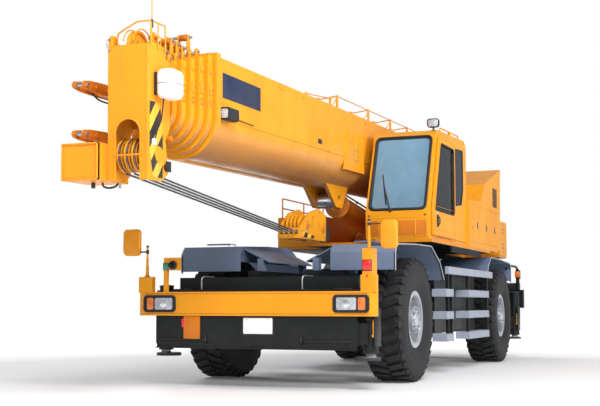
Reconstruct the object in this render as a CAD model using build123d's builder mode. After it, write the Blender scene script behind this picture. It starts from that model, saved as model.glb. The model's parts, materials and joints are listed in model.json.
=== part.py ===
from build123d import *
import os
from math import cos, radians, sin

os.makedirs("parts", exist_ok=True)

# Two-axle rough-terrain crane with a six-section boom, in millimetres.
# The origin is on the ground at the middle of the overall length.
# +X is the cab's side, +Y the rear, +Z up, so the boom's head points along -Y.

# Layout
wheelbase = 5300
front_axle_y = -1300
rear_axle_y = front_axle_y + wheelbase
slew_y = front_axle_y + 2930
carrier_half_width = 1420
boom_x = -50

# Clearances
running_gap = 0.05
seat_gap = 0.3
moving_gap = 8

# Wheels
tyre_radius = 780
tyre_width = 520
bead_radius = 330
bead_width = 380
tyre_bulge_radius = 560
tyre_shoulder_radius = 715
tyre_crown_width = 390
rim_flange_radius = 385
rim_flange_thickness = 22
rim_wall = 28
disc_offset = 60
disc_thickness = 26
wheel_centre_x = 1195
hand_hole_ring = 235
hand_hole_radius = 30
hand_hole_count = 10
hub_radius = 165
hub_length = 130
spindle_radius = 90

# Axles and knuckles
kingpin_x = 860
kingpin_radius = 45
knuckle_radius = 85
knuckle_height = 290
yoke_ear_height = 50
axle_beam_height = 220
axle_beam_width = 200
axle_bowl_radius = 230
axle_bowl_width = 300
spring_length = 1150
spring_width = 90
spring_height = 60

# Carrier frame
rail_outer_x = 420
rail_width = 100
rail_bottom_z = 950
rail_top_z = 1380
rail_front_y = -2350
rail_rear_y = 5900
rail_nose_y = -3040
rail_nose_top_z = 1114.7
cross_member_width = 120
bearing_radius = 780
bearing_top_z = 1600
deck_thickness = 40
deck_top_z = 1480
deck_front_y = 260
deck_rear_y = rear_axle_y - 1060

# Front end
bumper_front_y = -3175
bumper_bottom_z = 835
bumper_top_z = 1114
bumper_half_width = 1490
bumper_thickness = 60
bumper_return = 85
right_post_depth = 200
left_post_top_z = 1590
apron_half_width = 1255
apron_bottom_z = 455
apron_thickness = 14
apron_lip = 40
front_deck_top_z = 1135
front_deck_thickness = 20
front_deck_rear_y = rail_front_y - 5
front_deck_half_width = 1270
deck_box_half_width = 1150
deck_box_front_y = -2760
deck_box_rear_y = -2400
deck_box_top_z = 1290

# Outriggers
beam_section_y = 230
beam_section_z = 240
beam_wall = 12
beam_bottom_z = 520
beam_pad_gap = 4
housing_wall = 14
housing_half_length = 1270
front_housing_y = -2840
rear_housing_y = 5610
beam_pitch_y = 300
jack_x = housing_half_length + 100
beam_tip_x = jack_x - 70
beam_inner_x = housing_half_length - 120
jack_tube_radius = 85
jack_rod_radius = 58
jack_tube_bottom_z = 420
jack_tube_top_z = 1200
float_radius = 150
float_thickness = 35
float_bottom_z = 345

# Wheel covers
cover_top_z = 1740
cover_plate = 14
cover_inner_x = 600
cover_outer_x = 1425
hood_half_width = 560
cover_wall_low_z = 1500
slope_foot_x = 250
slope_foot_z = 1504

# Upper structure
table_bottom_z = bearing_top_z + seat_gap
table_plate = 60
table_radius = 820
cheek_inner_x = 470
cheek_thickness = 40
pivot_y = front_axle_y + 5450
pivot_z = 3050
pivot_pin_radius = 70
upper_rear_y = 5450

# Boom
boom_rest_angle = 1.2
boom_half_width = 400
boom_top_height = 620
section_inset = 37
section_wall = 9
collar_height = 26
collar_length = 90
collar_pitch = 120
base_front = 9050
base_tail = -300
telescope_tail = 700
tail_pitch = 90
luff_pin_u = 4700
luff_pin_v = -550
luff_foot_y = front_axle_y + 3900
luff_foot_z = 2030
barrel_radius = 165
rod_radius = 115

# Cab
cab_inner_x = 470
cab_outer_x = 1358
cab_wall = 40
door_thickness = 34


def boom_plane(distance, height=0):
    """Cross-section plane of the boom, at a distance forward of its pivot."""
    tilt = radians(boom_rest_angle)
    y = pivot_y - distance * cos(tilt) - height * sin(tilt)
    z = pivot_z - distance * sin(tilt) + height * cos(tilt)
    return Plane(origin=(boom_x, y, z), x_dir=(1, 0, 0), z_dir=(0, -cos(tilt), -sin(tilt)))


def boom_side(offset=0):
    """Side-view plane of the boom: x runs forward from the pivot, y runs up."""
    tilt = radians(boom_rest_angle)
    origin = (boom_x + offset, pivot_y, pivot_z)
    return Plane(origin=origin, x_dir=(0, -cos(tilt), -sin(tilt)), z_dir=(-1, 0, 0))


def side_view(x=0):
    """Side-view plane of the machine: local x is Y and local y is Z."""
    return Plane(origin=(x, 0, 0), x_dir=(0, 1, 0), z_dir=(1, 0, 0))


def box_between(low, high, mode=Mode.ADD):
    """A block given by its two opposite corners."""
    size = [high[i] - low[i] for i in range(3)]
    centre = [(high[i] + low[i]) / 2 for i in range(3)]
    with Locations(tuple(centre)):
        Box(*size, mode=mode)


wheel_spots = {
    "front_left": (1, front_axle_y),
    "front_right": (-1, front_axle_y),
    "rear_left": (1, rear_axle_y),
    "rear_right": (-1, rear_axle_y),
}


def wheel_profile_plane(side, y):
    """Plane through the wheel's axis: local x is the radius, local y points outboard."""
    centre = (side * wheel_centre_x, y, tyre_radius)
    return Plane(origin=centre, x_dir=(0, 0, 1), z_dir=(0, side, 0))


# Wheels, each with a tyre and a rim
for spot, (side, axle_y) in wheel_spots.items():
    profile_plane = wheel_profile_plane(side, axle_y)
    wheel_axis = Axis(profile_plane.origin, (side, 0, 0))
    with BuildPart() as tyre:
        with BuildSketch(profile_plane):
            with BuildLine():
                bore = Line((bead_radius, -bead_width / 2), (bead_radius, bead_width / 2))
                lip = Line(bore @ 1, (rim_flange_radius + 8, bead_width / 2))
                wall = ThreePointArc(
                    lip @ 1,
                    (tyre_bulge_radius, tyre_width / 2),
                    (tyre_shoulder_radius, tyre_width / 2 - 12),
                )
                shoulder = Line(wall @ 1, (tyre_radius, tyre_crown_width / 2))
                Line(shoulder @ 1, (tyre_radius, 0))
                mirror(about=Plane.XZ)
            make_face()
        revolve(axis=wheel_axis)
    tyre.part.label = f"tyre_{spot}"
    export_step(tyre.part, f"parts/tyre_{spot}.step")

    barrel_outer = bead_radius - seat_gap
    barrel_inner = barrel_outer - rim_wall
    flange_from = bead_width / 2 + seat_gap
    flange_to = flange_from + rim_flange_thickness
    with BuildPart() as rim:
        with BuildSketch(profile_plane):
            with Locations(((barrel_inner + barrel_outer) / 2, 0)):
                Rectangle(rim_wall, 2 * flange_to)
            for end in (-1, 1):
                with Locations(((barrel_inner + rim_flange_radius) / 2, end * (flange_from + flange_to) / 2)):
                    Rectangle(rim_flange_radius - barrel_inner, rim_flange_thickness)
            with Locations(((spindle_radius + running_gap + barrel_inner) / 2, disc_offset)):
                Rectangle(barrel_inner - spindle_radius - running_gap, disc_thickness)
            with Locations(((hub_radius + spindle_radius + running_gap) / 2, disc_offset + hub_length / 2)):
                Rectangle(hub_radius - spindle_radius - running_gap, hub_length)
            with Locations((hub_radius / 2, disc_offset + hub_length + disc_thickness / 2)):
                Rectangle(hub_radius, disc_thickness)
        revolve(axis=wheel_axis)
        disc_x = side * (wheel_centre_x + disc_offset + disc_thickness)
        with BuildSketch(Plane(origin=(disc_x, axle_y, tyre_radius), x_dir=(0, 1, 0), z_dir=(side, 0, 0))):
            with PolarLocations(hand_hole_ring, hand_hole_count):
                Circle(hand_hole_radius)
        extrude(amount=-2 * disc_thickness, mode=Mode.SUBTRACT)
    rim.part.label = f"rim_{spot}"
    export_step(rim.part, f"parts/rim_{spot}.step")

    spindle_end_x = wheel_centre_x + disc_offset + hub_length - seat_gap
    with BuildPart() as knuckle:
        with BuildSketch(Plane.XY.offset(tyre_radius - knuckle_height / 2)):
            with Locations((side * kingpin_x, axle_y)):
                Circle(knuckle_radius)
        extrude(amount=knuckle_height)
        with BuildSketch(Plane.XY.offset(tyre_radius - knuckle_height / 2 - yoke_ear_height)):
            with Locations((side * kingpin_x, axle_y)):
                Circle(kingpin_radius)
        extrude(amount=knuckle_height + 2 * yoke_ear_height)
        spindle_plane = Plane(
            origin=(side * kingpin_x, axle_y, tyre_radius), x_dir=(0, 1, 0), z_dir=(side, 0, 0)
        )
        with BuildSketch(spindle_plane):
            Circle(spindle_radius)
        extrude(amount=spindle_end_x - kingpin_x)
    knuckle.part.label = f"knuckle_{spot}"
    export_step(knuckle.part, f"parts/knuckle_{spot}.step")


# Steering axles with their leaf springs
spring_x = rail_outer_x - rail_width / 2
with BuildPart() as axles:
    for axle_y in (front_axle_y, rear_axle_y):
        beam_end_x = kingpin_x - knuckle_radius - moving_gap
        box_between(
            (-beam_end_x, axle_y - axle_beam_width / 2, tyre_radius - axle_beam_height / 2),
            (beam_end_x, axle_y + axle_beam_width / 2, tyre_radius + axle_beam_height / 2),
        )
        with BuildSketch(Plane.XZ.offset(-axle_y - axle_bowl_width / 2)):
            with Locations((0, tyre_radius)):
                Circle(axle_bowl_radius)
        extrude(amount=axle_bowl_width)
        ear_inner = knuckle_height / 2 + seat_gap
        for side in (-1, 1):
            for end in (-1, 1):
                ear_low = tyre_radius + (ear_inner if end > 0 else -ear_inner - yoke_ear_height)
                with BuildSketch(Plane.XY.offset(ear_low)):
                    with Locations((side * kingpin_x, axle_y)):
                        Circle(knuckle_radius)
                    with Locations((side * (kingpin_x - knuckle_radius), axle_y)):
                        Rectangle(2 * knuckle_radius, 2 * knuckle_radius)
                    with Locations((side * kingpin_x, axle_y)):
                        Circle(kingpin_radius + running_gap, mode=Mode.SUBTRACT)
                extrude(amount=yoke_ear_height)
            root_x = side * (kingpin_x - 2 * knuckle_radius + 35)
            reach = ear_inner + yoke_ear_height
            box_between(
                (root_x - 35, axle_y - knuckle_radius, tyre_radius - reach),
                (root_x + 35, axle_y + knuckle_radius, tyre_radius + reach),
            )
            pad_top = rail_bottom_z - seat_gap
            spring_bottom = tyre_radius + axle_beam_height / 2
            box_between(
                (side * spring_x - spring_width / 2, axle_y - spring_length / 2, spring_bottom - 10),
                (side * spring_x + spring_width / 2, axle_y + spring_length / 2, spring_bottom + 40),
            )
            for end in (-1, 1):
                eye_y = axle_y + end * (spring_length / 2 - 45)
                box_between(
                    (side * spring_x - spring_width / 2, eye_y - 45, spring_bottom),
                    (side * spring_x + spring_width / 2, eye_y + 45, pad_top),
                )
axles.part.label = "axles"
export_step(axles.part, "parts/axles.step")


# Carrier frame: two box rails, cross members and the slewing bearing's seat
with BuildPart() as carrier_frame:
    for side in (-1, 1):
        inner_x = side * (rail_outer_x - rail_width)
        outer_x = side * rail_outer_x
        box_between(
            (min(inner_x, outer_x), rail_front_y, rail_bottom_z),
            (max(inner_x, outer_x), rail_rear_y, rail_top_z),
        )
        box_between(
            (min(inner_x, outer_x), rail_nose_y, rail_bottom_z),
            (max(inner_x, outer_x), rail_front_y + 10, rail_nose_top_z),
        )
    for member_y in (rail_front_y + 200, 300, 2950, rail_rear_y - 200):
        box_between(
            (-rail_outer_x, member_y - cross_member_width / 2, rail_bottom_z + 60),
            (rail_outer_x, member_y + cross_member_width / 2, rail_top_z - 60),
        )
    with BuildSketch(Plane.XY.offset(rail_top_z - 120)):
        with Locations((0, slew_y)):
            Circle(bearing_radius)
            Circle(bearing_radius - 260, mode=Mode.SUBTRACT)
    extrude(amount=bearing_top_z - rail_top_z + 120)
carrier_frame.part.label = "carrier_frame"
export_step(carrier_frame.part, "parts/carrier_frame.step")


# Deck plates between the wheel covers
with BuildPart() as carrier_deck:
    with BuildSketch(Plane.XY.offset(deck_top_z - deck_thickness)):
        with Locations((0, (deck_front_y + deck_rear_y) / 2)):
            Rectangle(2 * (carrier_half_width - 25), deck_rear_y - deck_front_y)
        with Locations((0, slew_y)):
            Circle(bearing_radius + seat_gap, mode=Mode.SUBTRACT)
    extrude(amount=deck_thickness)
    for side in (-1, 1):
        leg_x = side * (rail_outer_x - rail_width / 2)
        for leg_y in (deck_front_y + 150, deck_rear_y - 150):
            box_between(
                (leg_x - 40, leg_y - 60, rail_top_z + seat_gap),
                (leg_x + 40, leg_y + 60, deck_top_z - deck_thickness),
            )
    front_deck_y = bumper_front_y + bumper_thickness + seat_gap
    box_between(
        (-front_deck_half_width, front_deck_y, front_deck_top_z - front_deck_thickness),
        (front_deck_half_width, front_deck_rear_y, front_deck_top_z),
    )
    box_between(
        (-deck_box_half_width, deck_box_front_y, front_deck_top_z - 5),
        (deck_box_half_width, deck_box_rear_y, deck_box_top_z),
    )
carrier_deck.part.label = "carrier_deck"
export_step(carrier_deck.part, "parts/carrier_deck.step")


# Outrigger housings: a pair of square tubes side by side at each end
def beam_centre_y(housing_y, side):
    """The two beams lie one behind the other: the left one in front."""
    return housing_y - side * beam_pitch_y / 2


beam_centre_z = beam_bottom_z + beam_section_z / 2
tube_inner_y = beam_section_y + 2 * beam_pad_gap
tube_inner_z = beam_section_z + 2 * beam_pad_gap
with BuildPart() as outrigger_housings:
    for housing_y in (front_housing_y, rear_housing_y):
        with BuildSketch(side_view(-housing_half_length)):
            with Locations((housing_y, beam_centre_z)):
                Rectangle(
                    beam_pitch_y + tube_inner_y + 2 * housing_wall, tube_inner_z + 2 * housing_wall
                )
            for side in (-1, 1):
                with Locations((beam_centre_y(housing_y, side), beam_centre_z)):
                    Rectangle(tube_inner_y, tube_inner_z, mode=Mode.SUBTRACT)
        extrude(amount=2 * housing_half_length)
        hanger_bottom_z = beam_centre_z + tube_inner_z / 2 + housing_wall
        for side in (-1, 1):
            box_between(
                (side * spring_x - 45, housing_y - 200, hanger_bottom_z),
                (side * spring_x + 45, housing_y + 200, rail_bottom_z - seat_gap),
            )
    apron_y = front_housing_y - (beam_pitch_y + tube_inner_y) / 2 - housing_wall
    box_between(
        (-apron_half_width, apron_y - apron_thickness, apron_bottom_z),
        (apron_half_width, apron_y + 2, bumper_bottom_z - seat_gap),
    )
    box_between(
        (-apron_half_width, apron_y - apron_lip, apron_bottom_z),
        (apron_half_width, apron_y, apron_bottom_z + apron_thickness),
    )
outrigger_housings.part.label = "outrigger_housings"
export_step(outrigger_housings.part, "parts/outrigger_housings.step")

# Outrigger beams with their jack tubes, and the jacks with their floats
outrigger_spots = {
    "front_left": (1, front_housing_y),
    "front_right": (-1, front_housing_y),
    "rear_left": (1, rear_housing_y),
    "rear_right": (-1, rear_housing_y),
}
for spot, (side, housing_y) in outrigger_spots.items():
    beam_y = beam_centre_y(housing_y, side)
    with BuildPart() as outrigger_beam:
        low_x, high_x = sorted((-side * beam_inner_x, side * jack_x))
        box_between(
            (low_x, beam_y - beam_section_y / 2, beam_bottom_z),
            (high_x, beam_y + beam_section_y / 2, beam_bottom_z + beam_section_z),
        )
        hollow_low, hollow_high = sorted((-side * beam_inner_x, side * beam_tip_x))
        box_between(
            (hollow_low, beam_y - beam_section_y / 2 + beam_wall, beam_bottom_z + beam_wall),
            (hollow_high, beam_y + beam_section_y / 2 - beam_wall, beam_bottom_z + beam_section_z - beam_wall),
            mode=Mode.SUBTRACT,
        )
        with BuildSketch(Plane.XY.offset(jack_tube_bottom_z)):
            with Locations((side * jack_x, beam_y)):
                Circle(jack_tube_radius)
        extrude(amount=jack_tube_top_z - jack_tube_bottom_z)
        with BuildSketch(Plane.XY.offset(jack_tube_bottom_z)):
            with Locations((side * jack_x, beam_y)):
                Circle(jack_rod_radius + running_gap)
        extrude(amount=jack_tube_top_z - jack_tube_bottom_z - 40, mode=Mode.SUBTRACT)
        for pad_x in (-side * (beam_inner_x - 60), side * (beam_inner_x - 60)):
            for end in (-1, 1):
                pad_low, pad_high = sorted(
                    (
                        beam_centre_z + end * beam_section_z / 2,
                        beam_centre_z + end * (beam_section_z / 2 + beam_pad_gap - seat_gap),
                    )
                )
                box_between(
                    (pad_x - 50, beam_y - beam_section_y / 2 + 10, pad_low),
                    (pad_x + 50, beam_y + beam_section_y / 2 - 10, pad_high),
                )
    outrigger_beam.part.label = f"outrigger_beam_{spot}"
    export_step(outrigger_beam.part, f"parts/outrigger_beam_{spot}.step")

    with BuildPart() as jack:
        with BuildSketch(Plane.XY.offset(float_bottom_z)):
            with Locations((side * jack_x, beam_y)):
                Circle(jack_rod_radius)
        extrude(amount=jack_tube_top_z - 60 - float_bottom_z)
        with BuildSketch(Plane.XY.offset(float_bottom_z)):
            with Locations((side * (jack_x - 40), beam_y)):
                Circle(float_radius)
        extrude(amount=float_thickness)
    jack.part.label = f"jack_{spot}"
    export_step(jack.part, f"parts/jack_{spot}.step")


# Front bumper, with its ends turned back along the sides
with BuildPart() as front_bumper:
    with BuildSketch(Plane.XY.offset(bumper_bottom_z)):
        with BuildLine():
            Polyline(
                (0, bumper_front_y),
                (carrier_half_width, bumper_front_y),
                (bumper_half_width, bumper_front_y + 40),
                (bumper_half_width, bumper_front_y + bumper_return),
                (carrier_half_width - 30, bumper_front_y + bumper_return),
                (carrier_half_width - 60, bumper_front_y + bumper_thickness),
                (0, bumper_front_y + bumper_thickness),
                close=True,
            )
        make_face()
        mirror(about=Plane.YZ)
    extrude(amount=bumper_top_z - bumper_bottom_z)
    for side in (-1, 1):
        post_low_x, post_high_x = sorted((side * 1310, side * 1490))
        box_between(
            (post_low_x, bumper_front_y + 5, bumper_top_z - 10),
            (post_high_x, bumper_front_y + bumper_return, 1295),
        )
    box_between(
        (1330, bumper_front_y + 10, 1280),
        (1440, bumper_front_y + right_post_depth, left_post_top_z),
    )
    box_between(
        (-1160, bumper_front_y + 15, bumper_top_z - 10),
        (-1110, bumper_front_y + 55, 1400),
    )
    box_between(
        (-1160, bumper_front_y + 15, 1370),
        (-960, bumper_front_y + 75, 1520),
    )
    for side in (-1, 1):
        arm_low_x, arm_high_x = sorted((side * spring_x - 45, side * spring_x + 45))
        box_between(
            (arm_low_x, bumper_front_y + bumper_thickness - 5, rail_bottom_z + 20),
            (arm_high_x, rail_nose_y - seat_gap, rail_nose_top_z),
        )
front_bumper.part.label = "front_bumper"
export_step(front_bumper.part, "parts/front_bumper.step")

# Mirrors on tapered masts at both front corners
mirror_outer_x = 1730
mirror_height = 325
mirror_depth = 60
mirror_corner = 45
with BuildPart() as mirrors:
    for side, mast_top_z, mirror_bottom_z, mirror_width in ((-1, 1650, 1550, 235), (1, 1900, 1580, 195)):
        mast_x = side * 1400
        mast_base_z = 1295 if side < 0 else left_post_top_z
        mast_y = bumper_front_y + 48
        with BuildSketch(Plane.XY.offset(mast_base_z + seat_gap)):
            with Locations((mast_x, mast_y)):
                Circle(22)
        extrude(amount=mast_top_z - mast_base_z)
        with BuildSketch(Plane.XZ.offset(-mast_y - mirror_depth / 2)):
            with Locations((side * (mirror_outer_x - mirror_width / 2), mirror_bottom_z + mirror_height / 2)):
                RectangleRounded(mirror_width, mirror_height, mirror_corner)
        extrude(amount=mirror_depth)
        arm_low_x, arm_high_x = sorted((mast_x, side * (mirror_outer_x - mirror_width + 20)))
        box_between(
            (arm_low_x, mast_y - 12, mirror_bottom_z + 30),
            (arm_high_x, mast_y + 12, mirror_bottom_z + 60),
        )
mirrors.part.label = "mirrors"
export_step(mirrors.part, "parts/mirrors.step")


# Wheel covers: faceted arches over each wheel, with an inner side that slopes down
front_slope = [(760, cover_top_z), (1190, 1545), (1410, 1310)]
rear_slope = [(760, cover_top_z), (980, 1600), (1030, 1500)]


def cover_outline(end, slope):
    """Outer outline of a cover in side view, from its end side to the slewing side."""
    outline = [(900, 1380), (900, 1600), (820, cover_top_z - 45), (20, cover_top_z - 10)]
    return [(end * y, z) for y, z in outline] + [(-end * y, z) for y, z in slope]


with BuildPart() as wheel_covers:
    for axle_y, end, slope in ((front_axle_y, -1, front_slope), (rear_axle_y, 1, rear_slope)):
        outer = [(axle_y + y, z) for y, z in cover_outline(end, slope)]
        for side in (-1, 1):
            low_x = min(side * cover_inner_x, side * cover_outer_x)
            with BuildSketch(side_view(low_x)):
                with BuildLine():
                    outline = Polyline(*outer)
                    offset(outline, amount=cover_plate, side=Side.RIGHT if end < 0 else Side.LEFT)
                make_face()
            extrude(amount=cover_outer_x - cover_inner_x)
            if end > 0:
                inner_low, inner_high = sorted((side * (hood_half_width + seat_gap), side * cover_inner_x))
                box_between(
                    (inner_low, axle_y - 890, 1640),
                    (inner_high, axle_y + 890, 1640 + cover_plate),
                )
                continue
            wall_low = min(side * cover_inner_x, side * (cover_inner_x + cover_plate))
            with BuildSketch(side_view(wall_low)):
                with BuildLine():
                    Polyline(
                        (axle_y - 893, cover_wall_low_z),
                        (axle_y - 893, 1600),
                        (axle_y - 815, 1690),
                        (axle_y - 20, cover_top_z - 16),
                        (axle_y + 757, cover_top_z - 6),
                        (axle_y + 1050, 1603),
                        (axle_y + 1050, cover_wall_low_z),
                        close=True,
                    )
                make_face()
            extrude(amount=cover_plate)
            slope_top_z = 1680
            slope_top_x = cover_inner_x + cover_plate / 2
            with BuildSketch(Plane.XZ.offset(-axle_y - 700)):
                with BuildLine():
                    Polyline(
                        (side * slope_top_x, slope_top_z),
                        (side * slope_top_x, slope_top_z - 1.3 * cover_plate),
                        (side * slope_foot_x, slope_foot_z - 1.3 * cover_plate),
                        (side * slope_foot_x, slope_foot_z),
                        close=True,
                    )
                make_face()
            extrude(amount=1500)
            leg_low, leg_high = sorted((side * (spring_x - 40), side * (spring_x + 40)))
            for leg_y in (axle_y - 750, axle_y + 640):
                box_between(
                    (leg_low, leg_y - 50, rail_top_z + seat_gap),
                    (leg_high, leg_y + 50, slope_foot_z + 36),
                )
wheel_covers.part.label = "wheel_covers"
export_step(wheel_covers.part, "parts/wheel_covers.step")


# Side steps: a long top tread and three lower ones on two uprights, on both sides
step_outer_x = 1450
step_depth = 210
step_front_y = front_axle_y + 1220
step_rear_y = deck_rear_y + 300
step_tops = (1180, 870, 560)
step_thickness = 105
step_groups = ((150, 560), (1500, 2900))
upright_width = 50
with BuildPart() as side_steps:
    for side in (-1, 1):
        inner = side * (carrier_half_width - 25 + seat_gap)
        outer_low, outer_high = sorted((inner, side * step_outer_x))
        box_between(
            (outer_low, deck_front_y + 20, deck_top_z - 90), (outer_high, step_rear_y - 40, deck_top_z + 12)
        )
        tread_low, tread_high = sorted((side * (step_outer_x - step_depth), side * step_outer_x))
        upright_low, upright_high = sorted((inner, side * (step_outer_x - 12)))
        for group_front_y, group_rear_y in step_groups:
            for top in step_tops:
                box_between((tread_low, group_front_y, top - step_thickness), (tread_high, group_rear_y, top))
            upright_front_y = max(group_front_y + 10, deck_front_y + 30)
            for upright_y in (upright_front_y, group_rear_y - 10 - upright_width):
                box_between(
                    (upright_low, upright_y, step_tops[-1] - step_thickness + 5),
                    (upright_high, upright_y + upright_width, deck_top_z - 60),
                )
side_steps.part.label = "side_steps"
export_step(side_steps.part, "parts/side_steps.step")

# Side boxes behind the steps: fuel tank on one side, battery and tool boxes on the other
with BuildPart() as side_boxes:
    for side in (-1, 1):
        box_low, box_high = sorted((side * (rail_outer_x + seat_gap), side * 1225))
        box_between((box_low, 330, 560), (box_high, 2830, deck_top_z - deck_thickness - 12))
    with BuildSketch(Plane.XY.offset(rail_top_z - 120 - moving_gap)):
        with Locations((0, slew_y)):
            Circle(bearing_radius + seat_gap)
    extrude(amount=200, mode=Mode.SUBTRACT)
side_boxes.part.label = "side_boxes"
export_step(side_boxes.part, "parts/side_boxes.step")

# Engine: one plain block between the rails at the rear, under its hood
engine_front_y = 4250
engine_rear_y = 5450
engine_half_width = rail_outer_x - rail_width - seat_gap
with BuildPart() as engine:
    box_between(
        (-engine_half_width, engine_front_y, 1020), (engine_half_width, engine_rear_y, 1560)
    )
engine.part.label = "engine"
export_step(engine.part, "parts/engine.step")

hood_top_z = 1700
hood_wall = 20
slat_count = 9
slat_front_y = 4850
slat_pitch = 120
slat_half_width = 400
slat_rise = 12
rear_slat_count = 7
rear_slat_pitch = 36
with BuildPart() as engine_hood:
    box_between(
        (-hood_half_width, 3050, rail_top_z + seat_gap), (hood_half_width, rail_rear_y + 250, hood_top_z)
    )
    box_between(
        (hood_wall - hood_half_width, 3050 + hood_wall, rail_top_z),
        (hood_half_width - hood_wall, rail_rear_y + 250 - hood_wall, hood_top_z - hood_wall),
        mode=Mode.SUBTRACT,
    )
    for index in range(slat_count):
        slat_y = slat_front_y + index * slat_pitch
        box_between((-slat_half_width, slat_y, hood_top_z - 2), (slat_half_width, slat_y + 40, hood_top_z + slat_rise))
    hood_rear_y = rail_rear_y + 250
    for index in range(rear_slat_count):
        slat_z = rail_top_z + 50 + index * rear_slat_pitch
        box_between((-slat_half_width, hood_rear_y - 2, slat_z), (slat_half_width, hood_rear_y + slat_rise, slat_z + 16))
engine_hood.part.label = "engine_hood"
export_step(engine_hood.part, "parts/engine_hood.step")

# Rear bumper across the carrier's end, carried by the rails
rear_end_y = 6300
rear_bumper_low_z = 900
tow_eye_y = 6235
tow_eye_z = 830
tow_eye_radius = 60
tow_eye_thickness = 40
tow_hole_radius = 27
with BuildPart() as rear_bumper:
    box_between((-1400, rear_end_y - 110, rear_bumper_low_z), (1400, rear_end_y, 1240))
    for side in (-1, 1):
        arm_low_x, arm_high_x = sorted((side * spring_x - 45, side * spring_x + 45))
        box_between((arm_low_x, rail_rear_y + seat_gap, 970), (arm_high_x, rear_end_y - 100, 1200))
        with BuildSketch(side_view(side * spring_x - tow_eye_thickness / 2)):
            with Locations((tow_eye_y, tow_eye_z)):
                Circle(tow_eye_radius)
            with Locations((tow_eye_y, (tow_eye_z + rear_bumper_low_z) / 2 + 10)):
                Rectangle(2 * tow_eye_radius, rear_bumper_low_z - tow_eye_z + 20)
            with Locations((tow_eye_y, tow_eye_z)):
                Circle(tow_hole_radius, mode=Mode.SUBTRACT)
        extrude(amount=tow_eye_thickness)
rear_bumper.part.label = "rear_bumper"
export_step(rear_bumper.part, "parts/rear_bumper.step")

# Lamps: head lamps in the bumper's ends, tail lamps on the rear bumper
lamp_z = 975
lamp_height = 200
lamp_width = 430
lamp_corner = 45
lamp_depth = 16
with BuildPart() as lamps:
    for side in (-1, 1):
        with BuildSketch(Plane.XZ.offset(-bumper_front_y + seat_gap)):
            with Locations((side * 1200, lamp_z)):
                RectangleRounded(lamp_width, lamp_height, lamp_corner)
        extrude(amount=lamp_depth)
        box_between(
            (side * 1150 - 190, rear_end_y - 150, 1240 + seat_gap), (side * 1150 + 190, rear_end_y - 40, 1370)
        )
lamps.part.label = "lamps"
export_step(lamps.part, "parts/lamps.step")


cover_panel_x = 1400
cab_front_y = front_axle_y + 880
cab_rear_y = front_axle_y + 3100

# Turntable: round plate over the bearing, floor, two cheeks up to the boom's pivot
floor_bottom_z = 1800
floor_top_z = 1850
skirt_half_length = 960
skirt_bottom_z = 1712
with BuildPart() as turntable:
    with BuildSketch(Plane.XY.offset(table_bottom_z)):
        with Locations((0, slew_y)):
            Circle(table_radius)
    extrude(amount=floor_top_z - table_bottom_z)
    box_between((-620, slew_y - 1500, floor_bottom_z), (620, upper_rear_y - 50, floor_top_z))
    box_between((600, cab_front_y, floor_bottom_z), (cover_panel_x, front_axle_y + 4600, floor_top_z))
    box_between(
        (cover_panel_x - 25, slew_y - skirt_half_length, skirt_bottom_z),
        (cover_panel_x, slew_y + skirt_half_length, floor_bottom_z + 2),
    )
    box_between((-cover_panel_x, slew_y - 700, floor_bottom_z), (-600, pivot_y + 250, floor_top_z))
    box_between((-1250, upper_rear_y - 650, floor_bottom_z), (1250, upper_rear_y - 50, floor_top_z))
    for side in (-1, 1):
        cheek_low, cheek_high = sorted(
            (boom_x + side * cheek_inner_x, boom_x + side * (cheek_inner_x + cheek_thickness))
        )
        with BuildSketch(side_view(cheek_low)):
            with BuildLine():
                Polyline(
                    (slew_y + 500, floor_top_z - 5),
                    (upper_rear_y - 60, floor_top_z - 5),
                    (upper_rear_y - 60, 2350),
                    (pivot_y + 260, pivot_z - 60),
                    (pivot_y + 120, pivot_z + 190),
                    (pivot_y - 120, pivot_z + 190),
                    (pivot_y - 320, pivot_z - 60),
                    (slew_y + 900, 2250),
                    (slew_y + 500, 2050),
                    close=True,
                )
            make_face()
        extrude(amount=cheek_high - cheek_low)
        foot_low, foot_high = sorted((boom_x + side * 190, boom_x + side * 240))
        with BuildSketch(side_view(foot_low)):
            with BuildLine():
                Polyline(
                    (luff_foot_y - 260, floor_top_z - 5),
                    (luff_foot_y + 260, floor_top_z - 5),
                    (luff_foot_y + 120, luff_foot_z + 120),
                    (luff_foot_y - 120, luff_foot_z + 120),
                    close=True,
                )
            make_face()
        extrude(amount=foot_high - foot_low)
    with BuildSketch(side_view(boom_x - cheek_inner_x - 5)):
        with Locations((pivot_y, pivot_z)):
            Circle(pivot_pin_radius)
    extrude(amount=2 * cheek_inner_x + 10)
    with BuildSketch(side_view(boom_x - 200)):
        with Locations((luff_foot_y, luff_foot_z)):
            Circle(55)
    extrude(amount=400)
turntable.part.label = "turntable"
export_step(turntable.part, "parts/turntable.step")

# Cab: hollow shell with raked windshield, windows and a door opening cut
cab_floor_z = floor_top_z + seat_gap
cab_outline = [
    (cab_front_y, cab_floor_z),
    (cab_front_y - 10, 2215),
    (front_axle_y + 1290, 3330),
    (front_axle_y + 1400, 3390),
    (cab_rear_y - 120, 3450),
    (cab_rear_y, 3360),
    (cab_rear_y, cab_floor_z),
]
door_front_y = front_axle_y + 1160
door_rear_y = front_axle_y + 2230
door_low_z = 1900
door_high_z = 3290
door_outline = [
    (door_front_y - 170, door_low_z),
    (door_front_y - 170, 2230),
    (door_front_y + 215, door_high_z),
    (door_rear_y, door_high_z),
    (door_rear_y, door_low_z),
]
rear_window_outline = [
    (door_rear_y + 130, 2400),
    (door_rear_y + 130, 3260),
    (cab_rear_y - 190, 3290),
    (cab_rear_y - 190, 2700),
    (cab_rear_y - 300, 2450),
]
glass_thickness = 8
window_gap = seat_gap


def window_rect(width, height):
    """A window with rounded corners."""
    RectangleRounded(width, height, 60)


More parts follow.
